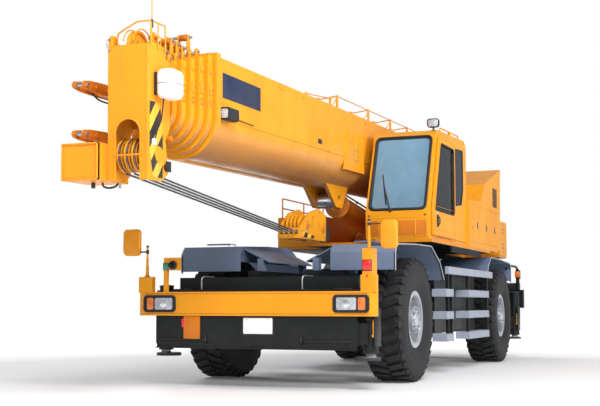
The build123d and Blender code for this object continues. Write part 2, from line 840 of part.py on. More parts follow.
shield_base = Vector(0, cab_front_y - 10, 2215)
shield_top = Vector(0, front_axle_y + 1290, 3330)
cab_mid_x = (cab_inner_x + cab_outer_x) / 2
shield_plane = Plane(
    origin=(shield_base + shield_top) / 2 + Vector(cab_mid_x, 0, 0),
    x_dir=(1, 0, 0),
    z_dir=(shield_top - shield_base).cross(Vector(1, 0, 0)) * -1,
)
cab_width = cab_outer_x - cab_inner_x
shield_size = (cab_width - 110, (shield_top - shield_base).length - 90)
back_plane = Plane(origin=(cab_mid_x, cab_rear_y, 2900), x_dir=(-1, 0, 0), z_dir=(0, 1, 0))
back_size = (cab_width - 240, 620)
inner_window_plane = Plane(origin=(cab_inner_x, front_axle_y + 1950, 2850), x_dir=(0, -1, 0), z_dir=(-1, 0, 0))
inner_window_size = (1250, 700)

with BuildPart() as cab_shell:
    with BuildSketch(side_view(cab_inner_x)):
        with BuildLine():
            Polyline(*cab_outline, close=True)
        make_face()
    extrude(amount=cab_width)
    with BuildSketch(side_view(cab_inner_x + cab_wall)):
        with BuildLine():
            Polyline(*cab_outline, close=True)
        make_face()
        offset(amount=-cab_wall, kind=Kind.INTERSECTION)
    extrude(amount=cab_width - 2 * cab_wall, mode=Mode.SUBTRACT)
    with BuildSketch(shield_plane.offset(60)):
        window_rect(*shield_size)
    extrude(amount=-160, mode=Mode.SUBTRACT)
    with BuildSketch(back_plane.offset(10)):
        window_rect(*back_size)
    extrude(amount=-cab_wall - 20, mode=Mode.SUBTRACT)
    with BuildSketch(inner_window_plane.offset(10)):
        window_rect(*inner_window_size)
    extrude(amount=-cab_wall - 20, mode=Mode.SUBTRACT)
    with BuildSketch(side_view(cab_outer_x - cab_wall - 10)):
        with BuildLine():
            Polyline(*door_outline, close=True)
        make_face()
        offset(amount=-45, kind=Kind.INTERSECTION)
        with BuildLine():
            Polyline(*rear_window_outline, close=True)
        make_face()
    extrude(amount=cab_wall + 20, mode=Mode.SUBTRACT)
cab_shell.part.label = "cab_shell"
export_step(cab_shell.part, "parts/cab_shell.step")

with BuildPart() as cab_glass:
    with BuildSketch(shield_plane.offset(-12)):
        window_rect(shield_size[0] - 2 * window_gap, shield_size[1] - 2 * window_gap)
    extrude(amount=-glass_thickness)
    with BuildSketch(back_plane.offset(-12)):
        window_rect(back_size[0] - 2 * window_gap, back_size[1] - 2 * window_gap)
    extrude(amount=-glass_thickness)
    with BuildSketch(inner_window_plane.offset(-12)):
        window_rect(inner_window_size[0] - 2 * window_gap, inner_window_size[1] - 2 * window_gap)
    extrude(amount=-glass_thickness)
    with BuildSketch(side_view(cab_outer_x - 20)):
        with BuildLine():
            Polyline(*rear_window_outline, close=True)
        make_face()
        offset(amount=-window_gap, kind=Kind.INTERSECTION)
    extrude(amount=glass_thickness)
cab_glass.part.label = "cab_glass"
export_step(cab_glass.part, "parts/cab_glass.step")

# Work lamp on the cab's roof
roof_lamp_x = 1290
roof_lamp_y = 140
roof_lamp_foot_z = 3392.4
with BuildPart() as roof_lamp:
    with BuildSketch(Plane.XY.offset(roof_lamp_foot_z)):
        with Locations((roof_lamp_x, roof_lamp_y)):
            Circle(15)
    extrude(amount=60)
    with BuildSketch(Plane.XZ.offset(-roof_lamp_y - 50)):
        with Locations((roof_lamp_x, roof_lamp_foot_z + 105)):
            RectangleRounded(170, 125, 35)
    extrude(amount=100)
roof_lamp.part.label = "roof_lamp"
export_step(roof_lamp.part, "parts/roof_lamp.step")

# Seat and console inside the cab
seat_y = front_axle_y + 2300
with BuildPart() as cab_seat:
    cab_inner_floor = cab_floor_z + cab_wall + seat_gap
    box_between((cab_mid_x - 180, seat_y - 200, cab_inner_floor), (cab_mid_x + 180, seat_y + 200, 2200))
    box_between((cab_mid_x - 250, seat_y - 260, 2190), (cab_mid_x + 250, seat_y + 260, 2310))
    box_between((cab_mid_x - 240, seat_y + 180, 2300), (cab_mid_x + 240, seat_y + 300, 2950))
    box_between((cab_mid_x - 160, seat_y + 200, 2940), (cab_mid_x + 160, seat_y + 290, 3160))
    for side in (-1, 1):
        box_between(
            (cab_mid_x + side * 310 - 60, seat_y - 420, cab_inner_floor),
            (cab_mid_x + side * 310 + 60, seat_y + 240, 2480),
        )
    box_between((cab_mid_x - 330, cab_front_y + 90, cab_inner_floor), (cab_mid_x + 330, cab_front_y + 300, 2360))
    box_between((cab_mid_x - 40, cab_front_y + 290, 2200), (cab_mid_x + 40, cab_front_y + 470, 2290))
    with Locations(Plane(origin=(cab_mid_x, cab_front_y + 470, 2330), z_dir=(0, 0.6, 0.8))):
        Torus(190, 16)
    box_between((cab_mid_x - 190, cab_front_y + 440, 2270), (cab_mid_x + 190, cab_front_y + 470, 2320))
cab_seat.part.label = "cab_seat"
export_step(cab_seat.part, "parts/cab_seat.step")

# Sliding door on the cab's outer side, with its window
door_x = cab_outer_x + moving_gap
door_window = [
    (door_front_y - 80, 2250),
    (door_front_y + 260, door_high_z - 90),
    (door_rear_y - 100, door_high_z - 90),
    (door_rear_y - 100, 2250),
]
with BuildPart() as cab_door:
    with BuildSketch(side_view(door_x)):
        with BuildLine():
            Polyline(*door_outline, close=True)
        make_face()
        with BuildLine():
            Polyline(*door_window, close=True)
        make_face(mode=Mode.SUBTRACT)
    extrude(amount=door_thickness)
    for runner_z in (door_low_z + 12, door_high_z - 32):
        box_between(
            (cab_outer_x + seat_gap, door_rear_y - 700, runner_z), (door_x + 1, door_rear_y - 20, runner_z + 20)
        )
cab_door.part.label = "cab_door"
export_step(cab_door.part, "parts/cab_door.step")

with BuildPart() as door_glass:
    with BuildSketch(side_view(door_x + 12)):
        with BuildLine():
            Polyline(*door_window, close=True)
        make_face()
        offset(amount=-window_gap, kind=Kind.INTERSECTION)
    extrude(amount=glass_thickness)
door_glass.part.label = "door_glass"
export_step(door_glass.part, "parts/door_glass.step")

# Left cover behind the cab: a low box with a wedge-shaped top
cover_box_inner_x = 625
cover_low_z = floor_top_z + seat_gap
with BuildPart() as left_cover:
    with BuildSketch(side_view(cover_box_inner_x)):
        with BuildLine():
            Polyline(
                (cab_rear_y + seat_gap, cover_low_z),
                (cab_rear_y + seat_gap, 2560),
                (front_axle_y + 3900, 2600),
                (front_axle_y + 4190, 2910),
                (front_axle_y + 5500, 3290),
                (front_axle_y + 5450, 2610),
                (front_axle_y + 5390, 1910),
                (front_axle_y + 5200, cover_low_z),
                close=True,
            )
        make_face()
    extrude(amount=cover_panel_x - cover_box_inner_x)
left_cover.part.label = "left_cover"
export_step(left_cover.part, "parts/left_cover.step")

# Right cover: hydraulic tank and valve housing
with BuildPart() as right_cover:
    box_between((-cover_panel_x, slew_y - 700, cover_low_z), (-cover_box_inner_x, pivot_y + 250, 2300))
right_cover.part.label = "right_cover"
export_step(right_cover.part, "parts/right_cover.step")

# Counterweight across the tail
with BuildPart() as counterweight:
    box_between((-1250, upper_rear_y - 650, cover_low_z), (-625, upper_rear_y, 2450))
    box_between((625, upper_rear_y - 650, cover_low_z), (1250, upper_rear_y, 2450))
    box_between((-1250, upper_rear_y - 45, cover_low_z), (1250, upper_rear_y, 2450))
counterweight.part.label = "counterweight"
export_step(counterweight.part, "parts/counterweight.step")

# Winch drums between the cheeks at the rear
drum_half_length = 380
drum_shaft_radius = 50
for name, drum_y, drum_z, drum_radius in (
    ("winch_drum_main", upper_rear_y - 420, 2130, 190),
    ("winch_drum_aux", upper_rear_y - 950, 2130, 190),
):
    with BuildPart() as winch_drum:
        with BuildSketch(side_view(boom_x - drum_half_length)):
            with Locations((drum_y, drum_z)):
                Circle(drum_radius)
        extrude(amount=2 * drum_half_length)
        with BuildSketch(side_view(boom_x - cheek_inner_x + seat_gap)):
            with Locations((drum_y, drum_z)):
                Circle(drum_shaft_radius)
        extrude(amount=2 * (cheek_inner_x - seat_gap))
        for side in (-1, 1):
            flange_low, _ = sorted((side * drum_half_length, side * (drum_half_length - 25)))
            with BuildSketch(side_view(boom_x + flange_low)):
                with Locations((drum_y, drum_z)):
                    Circle(drum_radius + 60)
            extrude(amount=25)
    winch_drum.part.label = name
    export_step(winch_drum.part, f"parts/{name}.step")


# Boom: nested sections, each a square-topped tube with a round bottom
def boom_outline(inset, mode=Mode.ADD):
    """Outline of a boom section, shrunk all round from the base section's by the inset."""
    half = boom_half_width - inset
    top = boom_top_height - inset
    with BuildLine() as outline:
        Polyline((half, 0), (half, top), (-half, top), (-half, 0))
        ThreePointArc((half, 0), (0, -half), (-half, 0))
    make_face(outline.edges(), mode=mode)


def boom_tube(start, end, outer_inset, inner_inset):
    """A stretch of tube along the boom, between two outlines."""
    with BuildSketch(boom_plane(start)) as ring:
        boom_outline(outer_inset)
        boom_outline(inner_inset, mode=Mode.SUBTRACT)
    extrude(ring.sketch, amount=end - start)


section_count = 6
pad_length = 150
slide_gap = 0.3


def section_front(number):
    """Distance of a section's front end from the pivot, boom in."""
    return base_front + collar_pitch * (number - 1)


boom_lamp_start = 8700
boom_lamp_length = 230
boom_lamp_width = 110
ledge_start = 900
ledge_reach = 7
saddle_thickness = 24
guard_side = 350
guard_height = 805
guard_post_radius = 13
guard_wire_radius = 7
guard_posts = (1100, 1890, 2820, 3900, 5234)
lug_half_gap = 130
lug_thickness = 45
lug_hole_radius = 60
lug_reach = 600
with BuildPart() as boom_base:
    boom_tube(base_tail, base_front, 0, section_wall)
    with BuildSketch(boom_plane(base_tail)):
        boom_outline(0)
    extrude(amount=25)
    boom_tube(base_front - pad_length, base_front, section_wall - 1, section_inset - slide_gap)
    boom_tube(base_front - collar_length, base_front, -collar_height, 0)
    with BuildSketch(boom_plane(ledge_start)):
        with Locations((boom_half_width, 0)):
            Rectangle(2 * ledge_reach, 14)
    extrude(amount=boom_lamp_start - 10 - ledge_start)
    for side in (-1, 1):
        with BuildSketch(boom_side(side * (boom_half_width + saddle_thickness / 2 - 1))):
            with BuildLine():
                Polyline(
                    (luff_pin_u - 380, -180),
                    (luff_pin_u - 260, 380),
                    (luff_pin_u + 60, 440),
                    (luff_pin_u + 260, 380),
                    (luff_pin_u + 470, -180),
                    close=True,
                )
            make_face()
        extrude(amount=saddle_thickness / 2 + 1, both=True)
    guard_points = [(u, guard_height) for u in guard_posts] + [(5506, 735), (6377, 665)]
    for u, height in guard_points:
        with BuildSketch(boom_plane(u - guard_post_radius, (boom_top_height + height) / 2)):
            with Locations((guard_side, 0)):
                Rectangle(2 * guard_post_radius, height - boom_top_height + 2)
        extrude(amount=2 * guard_post_radius)
    for (start_u, start_v), (end_u, end_v) in zip(guard_points, guard_points[1:]):
        start = boom_plane(start_u, start_v - guard_post_radius).origin + Vector(guard_side, 0, 0)
        end = boom_plane(end_u, end_v - guard_post_radius).origin + Vector(guard_side, 0, 0)
        with BuildSketch(Plane(origin=start, z_dir=end - start)):
            Circle(guard_wire_radius)
        extrude(amount=(end - start).length)
    with BuildSketch(side_view(boom_x - cheek_inner_x + seat_gap)):
        with Locations((pivot_y, pivot_z)):
            Circle(pivot_pin_radius + 70)
    extrude(amount=2 * (cheek_inner_x - seat_gap))
    with BuildSketch(side_view(boom_x - cheek_inner_x)):
        with Locations((pivot_y, pivot_z)):
            Circle(pivot_pin_radius + running_gap)
    extrude(amount=2 * cheek_inner_x, mode=Mode.SUBTRACT)
    for side in (-1, 1):
        lug_x = side * (lug_half_gap + lug_thickness / 2)
        with BuildSketch(boom_side(lug_x)):
            with BuildLine():
                Polyline(
                    (luff_pin_u - 380, -360),
                    (luff_pin_u + 520, -360),
                    (luff_pin_u + 120, luff_pin_v - 110),
                    (luff_pin_u - 120, luff_pin_v - 110),
                    close=True,
                )
            make_face()
            with Locations((luff_pin_u, luff_pin_v)):
                Circle(lug_hole_radius, mode=Mode.SUBTRACT)
        extrude(amount=lug_thickness / 2, both=True)
    with BuildSketch(boom_plane(luff_pin_u - lug_reach)):
        boom_outline(section_wall)
    extrude(amount=2 * lug_reach, mode=Mode.SUBTRACT)
boom_base.part.label = "boom_base"
export_step(boom_base.part, "parts/boom_base.step")

# Work lamp on the boom's left side, near the base section's front
with BuildPart() as boom_lamp:
    with BuildSketch(boom_plane(boom_lamp_start)):
        with Locations((boom_half_width + seat_gap + boom_lamp_width / 2, 40)):
            RectangleRounded(boom_lamp_width, 130, 25)
    extrude(amount=boom_lamp_length)
boom_lamp.part.label = "boom_lamp"
export_step(boom_lamp.part, "parts/boom_lamp.step")

for number in range(2, section_count + 1):
    inset = section_inset * (number - 1)
    tail = telescope_tail + tail_pitch * (number - 2)
    front = section_front(number)
    with BuildPart() as boom_section:
        boom_tube(tail, front, inset, inset + section_wall)
        boom_tube(tail, tail + pad_length, inset - section_inset + section_wall + slide_gap, inset + 1)
        if number < section_count:
            boom_tube(
                front - pad_length, front, inset + section_wall - 1, inset + section_inset - slide_gap
            )
        boom_tube(front - collar_length, front, inset - collar_height, inset + 1)
    boom_section.part.label = f"boom_section_{number}"
    export_step(boom_section.part, f"parts/boom_section_{number}.step")

# Boom head: side plates, front plate with an arched opening, top plate and ears
head_start = section_front(section_count) + seat_gap
head_end = 10080
head_half_width = 215
head_plate = 25
lower_sheave_u = 9880
lower_sheave_v = -470
upper_sheave_u = 9860
upper_sheave_v = 560
sheave_radius = 200
sheave_pin_radius = 45
jib_pin_u = 9725
jib_pin_v = 250
jib_pin_hole_radius = 32
head_side = [
    (head_start, -190),
    (head_start + 90, -330),
    (lower_sheave_u - 190, -640),
    (lower_sheave_u - 60, -720),
    (head_end, -720),
    (head_end, 560),
    (head_start, 440),
]
with BuildPart() as boom_head:
    for side in (-1, 1):
        with BuildSketch(boom_side(side * (head_half_width - head_plate / 2))):
            with BuildLine():
                Polyline(*head_side, close=True)
            make_face()
        extrude(amount=head_plate / 2, both=True)
    with BuildSketch(boom_plane(head_end - head_plate)):
        with Locations((0, (560 - 720) / 2)):
            Rectangle(2 * head_half_width, 560 + 720)
        with Locations((0, -720 + 290)):
            Rectangle(270, 580 + 2, mode=Mode.SUBTRACT)
    extrude(amount=head_plate)
    with BuildSketch(boom_plane(head_start)):
        with Locations((0, 125)):
            Rectangle(2 * head_half_width, 630)
    extrude(amount=head_plate)
    with BuildSketch(boom_side()):
        with BuildLine():
            Polyline((head_start, 415), (head_start, 440), (head_end, 560), (head_end, 535), close=True)
        make_face()
    extrude(amount=head_half_width, both=True)
    for side in (-1, 1):
        with BuildSketch(boom_side(side * 60 - 20)):
            with BuildLine():
                Polyline(
                    (upper_sheave_u - 150, 440),
                    (upper_sheave_u + 150, 480),
                    (upper_sheave_u + 70, upper_sheave_v + 80),
                    (upper_sheave_u - 70, upper_sheave_v + 80),
                    close=True,
                )
            make_face()
        extrude(amount=8, both=True)
    with BuildSketch(boom_side(-head_half_width + 1)):
        with BuildLine():
            Polyline((9700, -720), (head_end + 170, -720), (head_end + 170, -370), (9700, -370), close=True)
        make_face()
    extrude(amount=390)
    with BuildSketch(boom_side(-20)):
        with Locations((upper_sheave_u, 470)):
            Rectangle(2 * sheave_radius, 260)
    extrude(amount=30, both=True, mode=Mode.SUBTRACT)
    with BuildSketch(boom_side()):
        with Locations((jib_pin_u, jib_pin_v)):
            Circle(jib_pin_hole_radius)
    extrude(amount=head_half_width + 1, both=True, mode=Mode.SUBTRACT)
boom_head.part.label = "boom_head"
export_step(boom_head.part, "parts/boom_head.step")

# Sheaves in the boom head, on their pins
with BuildPart() as head_sheaves:
    pin_reach = head_half_width - head_plate - seat_gap
    with BuildSketch(boom_side()):
        with Locations((lower_sheave_u, lower_sheave_v)):
            Circle(sheave_pin_radius)
    extrude(amount=pin_reach, both=True)
    for sheave_x in (-120, -40, 40, 120):
        with BuildSketch(boom_side(sheave_x)):
            with Locations((lower_sheave_u, lower_sheave_v)):
                Circle(sheave_radius - 40)
        extrude(amount=22, both=True)
    with BuildSketch(boom_side(-20)):
        with Locations((upper_sheave_u, upper_sheave_v)):
            Circle(sheave_radius - 30)
    extrude(amount=22, both=True)
    with BuildSketch(boom_side(-20)):
        with Locations((upper_sheave_u, upper_sheave_v)):
            Circle(25)
    extrude(amount=60 - 8 - seat_gap, both=True)
head_sheaves.part.label = "head_sheaves"
export_step(head_sheaves.part, "parts/head_sheaves.step")

# Hook block, drawn up under the boom on its hoist ropes: cheeks, sheaves and a hook that lies back
block_x = 100
block_half_width = 150
block_front_y = -2300
block_cheek = 32
cheek_outline = [(-2300, 1775), (-2300, 1900), (-1980, 2110), (-1650, 2180), (-1400, 2110), (-1320, 1950), (-1420, 1775)]
block_sheave_y = -2060
block_sheave_z = 1945
block_sheave_radius = 125
shank_z = 1930
shank_radius = 48
hook_centre_y = -1070
hook_ring_radius = 105
hook_thickness = 40
with BuildPart() as hook_block:
    for side in (-1, 1):
        cheek_low, _ = sorted((side * block_half_width, side * (block_half_width - block_cheek)))
        with BuildSketch(side_view(block_x + cheek_low)):
            with BuildLine():
                Polyline(*cheek_outline, close=True)
            make_face()
            for slot_y in (-1880, -1640):
                with Locations(Location((slot_y, 1985), 72)):
                    SlotOverall(190, 46, mode=Mode.SUBTRACT)
        extrude(amount=block_cheek)
    box_between(
        (block_x - block_half_width, block_front_y, 1775), (block_x + block_half_width, block_front_y + 25, 1905)
    )
    box_between(
        (block_x - block_half_width + 5, -1620, 1800), (block_x + block_half_width - 5, -1400, 2060)
    )
    with BuildSketch(side_view(block_x - block_half_width + 5)):
        with Locations((block_sheave_y, block_sheave_z)):
            Circle(35)
    extrude(amount=2 * block_half_width - 10)
    for sheave_x in (-75, -25, 25, 75):
        with BuildSketch(side_view(block_x + sheave_x - 15)):
            with Locations((block_sheave_y, block_sheave_z)):
                Circle(block_sheave_radius)
        extrude(amount=30)
    with BuildSketch(Plane.XZ.offset(1405)):
        with Locations((block_x, shank_z)):
            Circle(shank_radius)
    extrude(amount=-(1405 + hook_centre_y - hook_ring_radius + 8))
    with BuildSketch(side_view(block_x - hook_thickness)):
        with Locations((hook_centre_y, shank_z)):
            Circle(hook_ring_radius + hook_thickness)
            Circle(hook_ring_radius - hook_thickness, mode=Mode.SUBTRACT)
        with Locations((hook_centre_y + 60, shank_z + 90)):
            Rectangle(150, 110, mode=Mode.SUBTRACT)
    extrude(amount=2 * hook_thickness)
hook_block.part.label = "hook_block"
export_step(hook_block.part, "parts/hook_block.step")

# Hoist ropes from the head's sheaves to the block
rope_radius = 11
rope_drop = sheave_radius - 40 + rope_radius + seat_gap
rope_start = boom_plane(lower_sheave_u, lower_sheave_v - rope_drop).origin
with BuildPart() as hoist_ropes:
    for rope_x in (-120, -40, 40, 120):
        start = Vector(boom_x + rope_x, rope_start.Y, rope_start.Z)
        end = Vector(block_x + rope_x * 0.8, block_front_y - 1.5, 1850)
        with BuildSketch(Plane(origin=start, z_dir=end - start)):
            Circle(rope_radius)
        extrude(amount=(end - start).length)
hoist_ropes.part.label = "hoist_ropes"
export_step(hoist_ropes.part, "parts/hoist_ropes.step")

# Stowed jib along the boom's right side, carried by the base section
jib_x = -boom_half_width - 230
jib_end = 10450
with BuildPart() as jib:
    for chord_v in (-230, 250):
        with BuildSketch(boom_plane(2400, chord_v)):
            with Locations((jib_x, 0)):
                Rectangle(120, 120)
        extrude(amount=jib_end - 2400)
    for index in range(8):
        with BuildSketch(boom_plane(2500 + index * 900, 10)):
            with Locations((jib_x, 0)):
                Rectangle(70, 480)
        extrude(amount=70)
    for bracket_u in (3200, 8300):
        with BuildSketch(boom_plane(bracket_u, 20)):
            with Locations(((jib_x - boom_half_width) / 2, 0)):
                Rectangle(-boom_half_width - jib_x - 2 * seat_gap, 560)
        extrude(amount=120)
jib.part.label = "jib"
export_step(jib.part, "parts/jib.step")


# Derrick cylinder: barrel pinned to the turntable, rod with its eye between the boom's lugs
eye_point = boom_plane(luff_pin_u, luff_pin_v).origin
foot_point = Vector(boom_x, luff_foot_y, luff_foot_z)
cylinder_axis = (eye_point - foot_point).normalized()
closed_length = (eye_point - foot_point).length
barrel_start = 130
barrel_end = closed_length - 400
barrel_wall = 22


def cylinder_plane(distance):
    """Cross-section plane of the derrick cylinder, at a distance from its foot pin."""
    return Plane(origin=foot_point + cylinder_axis * distance, x_dir=(1, 0, 0), z_dir=cylinder_axis)


with BuildPart() as derrick_barrel:
    with BuildSketch(cylinder_plane(barrel_start)):
        Circle(barrel_radius)
    extrude(amount=barrel_end - barrel_start)
    with BuildSketch(cylinder_plane(barrel_start + 60)):
        Circle(rod_radius + running_gap)
    extrude(amount=barrel_end, mode=Mode.SUBTRACT)
    with BuildSketch(side_view(boom_x - 120)):
        with Locations((luff_foot_y, luff_foot_z)):
            Circle(110)
    extrude(amount=240)
    with BuildSketch(cylinder_plane(0)):
        Rectangle(200, 200)
    extrude(amount=barrel_start + 20)
    with BuildSketch(side_view(boom_x - 150)):
        with Locations((luff_foot_y, luff_foot_z)):
            Circle(55 + running_gap)
    extrude(amount=300, mode=Mode.SUBTRACT)
derrick_barrel.part.label = "derrick_barrel"
export_step(derrick_barrel.part, "parts/derrick_barrel.step")

with BuildPart() as derrick_rod:
    with BuildSketch(cylinder_plane(barrel_start + 80)):
        Circle(rod_radius)
    extrude(amount=closed_length - barrel_start - 160)
    with BuildSketch(side_view(boom_x - lug_half_gap + moving_gap)):
        with Locations((eye_point.Y, eye_point.Z)):
            Circle(110)
    extrude(amount=2 * (lug_half_gap - moving_gap))
derrick_rod.part.label = "derrick_rod"
export_step(derrick_rod.part, "parts/derrick_rod.step")
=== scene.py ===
import bmesh
import bpy
import json
import math
from mathutils import Matrix, Vector

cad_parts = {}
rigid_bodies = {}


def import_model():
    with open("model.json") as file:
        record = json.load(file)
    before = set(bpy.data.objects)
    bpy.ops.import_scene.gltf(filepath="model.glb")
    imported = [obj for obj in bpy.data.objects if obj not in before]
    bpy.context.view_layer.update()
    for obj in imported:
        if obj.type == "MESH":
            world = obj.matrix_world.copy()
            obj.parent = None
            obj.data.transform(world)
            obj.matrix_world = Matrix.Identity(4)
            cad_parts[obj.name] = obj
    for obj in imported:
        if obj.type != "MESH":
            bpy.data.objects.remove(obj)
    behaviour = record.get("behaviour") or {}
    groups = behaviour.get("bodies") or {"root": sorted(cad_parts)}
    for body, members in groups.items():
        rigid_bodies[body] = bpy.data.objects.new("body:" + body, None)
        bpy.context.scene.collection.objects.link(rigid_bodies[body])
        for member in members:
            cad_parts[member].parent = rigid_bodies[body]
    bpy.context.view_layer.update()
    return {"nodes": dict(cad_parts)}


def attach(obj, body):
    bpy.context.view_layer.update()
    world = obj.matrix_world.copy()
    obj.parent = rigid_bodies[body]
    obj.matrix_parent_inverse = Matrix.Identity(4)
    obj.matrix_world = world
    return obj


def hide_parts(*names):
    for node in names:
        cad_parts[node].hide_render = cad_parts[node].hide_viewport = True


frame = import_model()
nodes = frame["nodes"]

# Places and sizes that several pieces share, in metres
boom_tilt = math.radians(1.2)
boom_pivot = (-0.05, 4.15, 3.05)
wheel_side = 1.195
axle_height = 0.78
front_axle_y = -1.3
rear_axle_y = 4.0
cover_face = 1.4002
head_cheek = 0.2148
head_face = 10.0798
lower_sheaves = (9.88, -0.47)
upper_sheave = (9.86, 0.56)
sheave_radius = 0.16
rope_rows = (-0.12, -0.04, 0.04, 0.12)
rope_spread_at_hook = 0.8
hook_x = 0.1
hook_rope_end = (-2.3015, 1.85)
jib_y = -0.63
jib_chords = (-0.23, 0.25)
drum_places = {"main": 5.03, "aux": 4.5}
drum_height = 2.13
step_levels = (1.18, 0.87, 0.56)
lug_count = 34

# Camera at the photograph's viewing angle
camera_place = (5.23, -14.872, 0.968)
camera_pitch = 5.213
camera_turn = 21.63
camera_lens = 66.62


# Finishes: shader trees written as expressions
class Reading:
    """A value read over a surface; Python's operators add the Math nodes for it."""

    def __init__(self, finish, socket):
        self.finish = finish
        self.socket = socket

    def maths(self, operation, first, second=0.0, clamped=False):
        settings = {"operation": operation, "use_clamp": clamped}
        return self.finish.node("Math", settings, {0: first, 1: second})

    def __add__(self, other):
        return self.maths("ADD", self, other)

    def __radd__(self, other):
        return self.maths("ADD", other, self)

    def __sub__(self, other):
        return self.maths("SUBTRACT", self, other)

    def __rsub__(self, other):
        return self.maths("SUBTRACT", other, self)

    def __mul__(self, other):
        return self.maths("MULTIPLY", self, other)

    def __rmul__(self, other):
        return self.maths("MULTIPLY", other, self)

    def __truediv__(self, other):
        return self.maths("DIVIDE", self, other)

    def __gt__(self, other):
        return self.maths("GREATER_THAN", self, other)

    def __lt__(self, other):
        return self.maths("LESS_THAN", self, other)

    def __mod__(self, other):
        return self.maths("FLOORED_MODULO", self, other)

    def held(self):
        """The value kept between 0 and 1."""
        return self.maths("ADD", self, 0.0, clamped=True)

    def ramp(self, low, high):
        """0 below low, 1 above high, and straight between them."""
        return self.finish.node("MapRange", {}, {0: self, 1: low, 2: high, 3: 0.0, 4: 1.0})


class Finish:
    """One procedural material; settings are what is the same all over it."""

    def __init__(self, name, settings=None):
        self.material = bpy.data.materials.new(name)
        self.material.use_nodes = True
        self.tree = self.material.node_tree
        self.shader = self.tree.nodes["Principled BSDF"]
        self.place = self.node("TexCoord", output=3)
        self.soft_normal = None
        for label, value in (settings or {}).items():
            self.feed(self.shader.inputs[label], value)

    def feed(self, socket, value):
        if isinstance(value, Reading):
            self.tree.links.new(value.socket, socket)
        elif isinstance(value, tuple) and len(value) == 3 and socket.type == "RGBA":
            socket.default_value = (*value, 1)
        else:
            socket.default_value = value

    def node(self, kind, settings=None, inputs=None, output=0):
        node = self.tree.nodes.new("ShaderNode" + kind)
        for label, value in (settings or {}).items():
            setattr(node, label, value)
        for label, value in (inputs or {}).items():
            self.feed(node.inputs[label], value)
        return Reading(self, node.outputs[output])

    def axis(self, number):
        """One coordinate of the surface's place: 0 for x, 1 for y, 2 for z."""
        return self.node("SeparateXYZ", {}, {0: self.place}, number)

    def blend(self, amount, first, second, how="MIX"):
        settings = {"data_type": "RGBA", "blend_type": how}
        return self.node("Mix", settings, {0: amount, 6: first, 7: second}, 2)

    def noise(self, scale, detail=3.0, rough=0.55, stretch=(1, 1, 1)):
        place = self.node("VectorMath", {"operation": "MULTIPLY"}, {0: self.place, 1: stretch})
        inputs = {"Vector": place, "Scale": scale, "Detail": detail, "Roughness": rough}
        return self.node("TexNoise", {}, inputs)

    def edges(self, radius, strength=5.0):
        """1 along the shape's edges, 0 on its flats."""
        rounded = self.node("Bevel", {"samples": 4}, {"Radius": radius})
        flat = self.node("NewGeometry", output=1)
        facing = self.node("VectorMath", {"operation": "DOT_PRODUCT"}, {0: rounded, 1: flat}, 1)
        self.soft_normal = rounded
        return ((1 - facing) * strength).held()

    def colour(self, value):
        self.feed(self.shader.inputs["Base Color"], value)

    def rough(self, value):
        self.feed(self.shader.inputs["Roughness"], value)

    def relief(self, height, distance, strength=1.0):
        """Raises the surface by a height that is read over it."""
        inputs = {"Height": height, "Distance": distance, "Strength": strength}
        if self.soft_normal:
            inputs["Normal"] = self.soft_normal
        self.feed(self.shader.inputs["Normal"], self.node("Bump", {}, inputs))


def painted_underside_shade(finish):
    """1 on surfaces that face down, where painted shade and reflection go."""
    normal = finish.node("NewGeometry", output=1)
    down = finish.node("SeparateXYZ", {}, {0: normal}, 2)
    return (0 - down).ramp(0.1, 0.8)


def paint(name, colour, shade, rough, coat=0.4, edge=None, dirt=(0.09, 0.07, 0.05), dirt_height=0.0,
          below=None):
    """Sprayed paint: soft colour variation, orange peel, dust low down, lighter chips along the edges that
    are partly wear and partly painted highlight, and painted shade on down-facing surfaces where a below
    colour is given.
    """
    finish = Finish(name, {"Coat Weight": coat, "Coat Roughness": 0.12, "Specular IOR Level": 0.2})
    patches = finish.noise(1.3, 4.0).ramp(0.35, 0.7)
    streaks = finish.noise(3.5, 5.0, 0.6, (1, 1, 0.16)).ramp(0.5, 0.8)
    base = finish.blend(patches * 0.55, colour, shade)
    base = finish.blend(streaks * 0.12, base, dirt)
    # Lighter chips along the edges, in the edge colour: painted edge highlight, partly wear.
    worn_and_lit_edges = finish.edges(0.006)
    chips_and_edge_highlights = (worn_and_lit_edges * finish.noise(38.0, 4.0).ramp(0.42, 0.62)).held()
    base = finish.blend(chips_and_edge_highlights * 0.6, base, edge or colour)
    # The below colour, patchy, on down-facing surfaces: painted shade and reflection.
    if below:
        patchy_overlay = painted_underside_shade(finish) * (0.5 + 0.5 * finish.noise(2.0, 4.0))
        base = finish.blend(patchy_overlay * 0.75, base, below)
    if dirt_height:
        low = 1 - finish.axis(2).ramp(0.1, dirt_height)
        dust = (low * finish.noise(9.0, 5.0).ramp(0.3, 0.75)).held()
        base = finish.blend(dust * 0.5, base, dirt)
    finish.colour(base)
    finish.rough(rough + 0.12 * patches + 0.15 * streaks)
    finish.relief(finish.noise(240.0, 2.0) * 0.3 + finish.noise(6.0, 2.0), 0.0008, 0.5)
    return finish


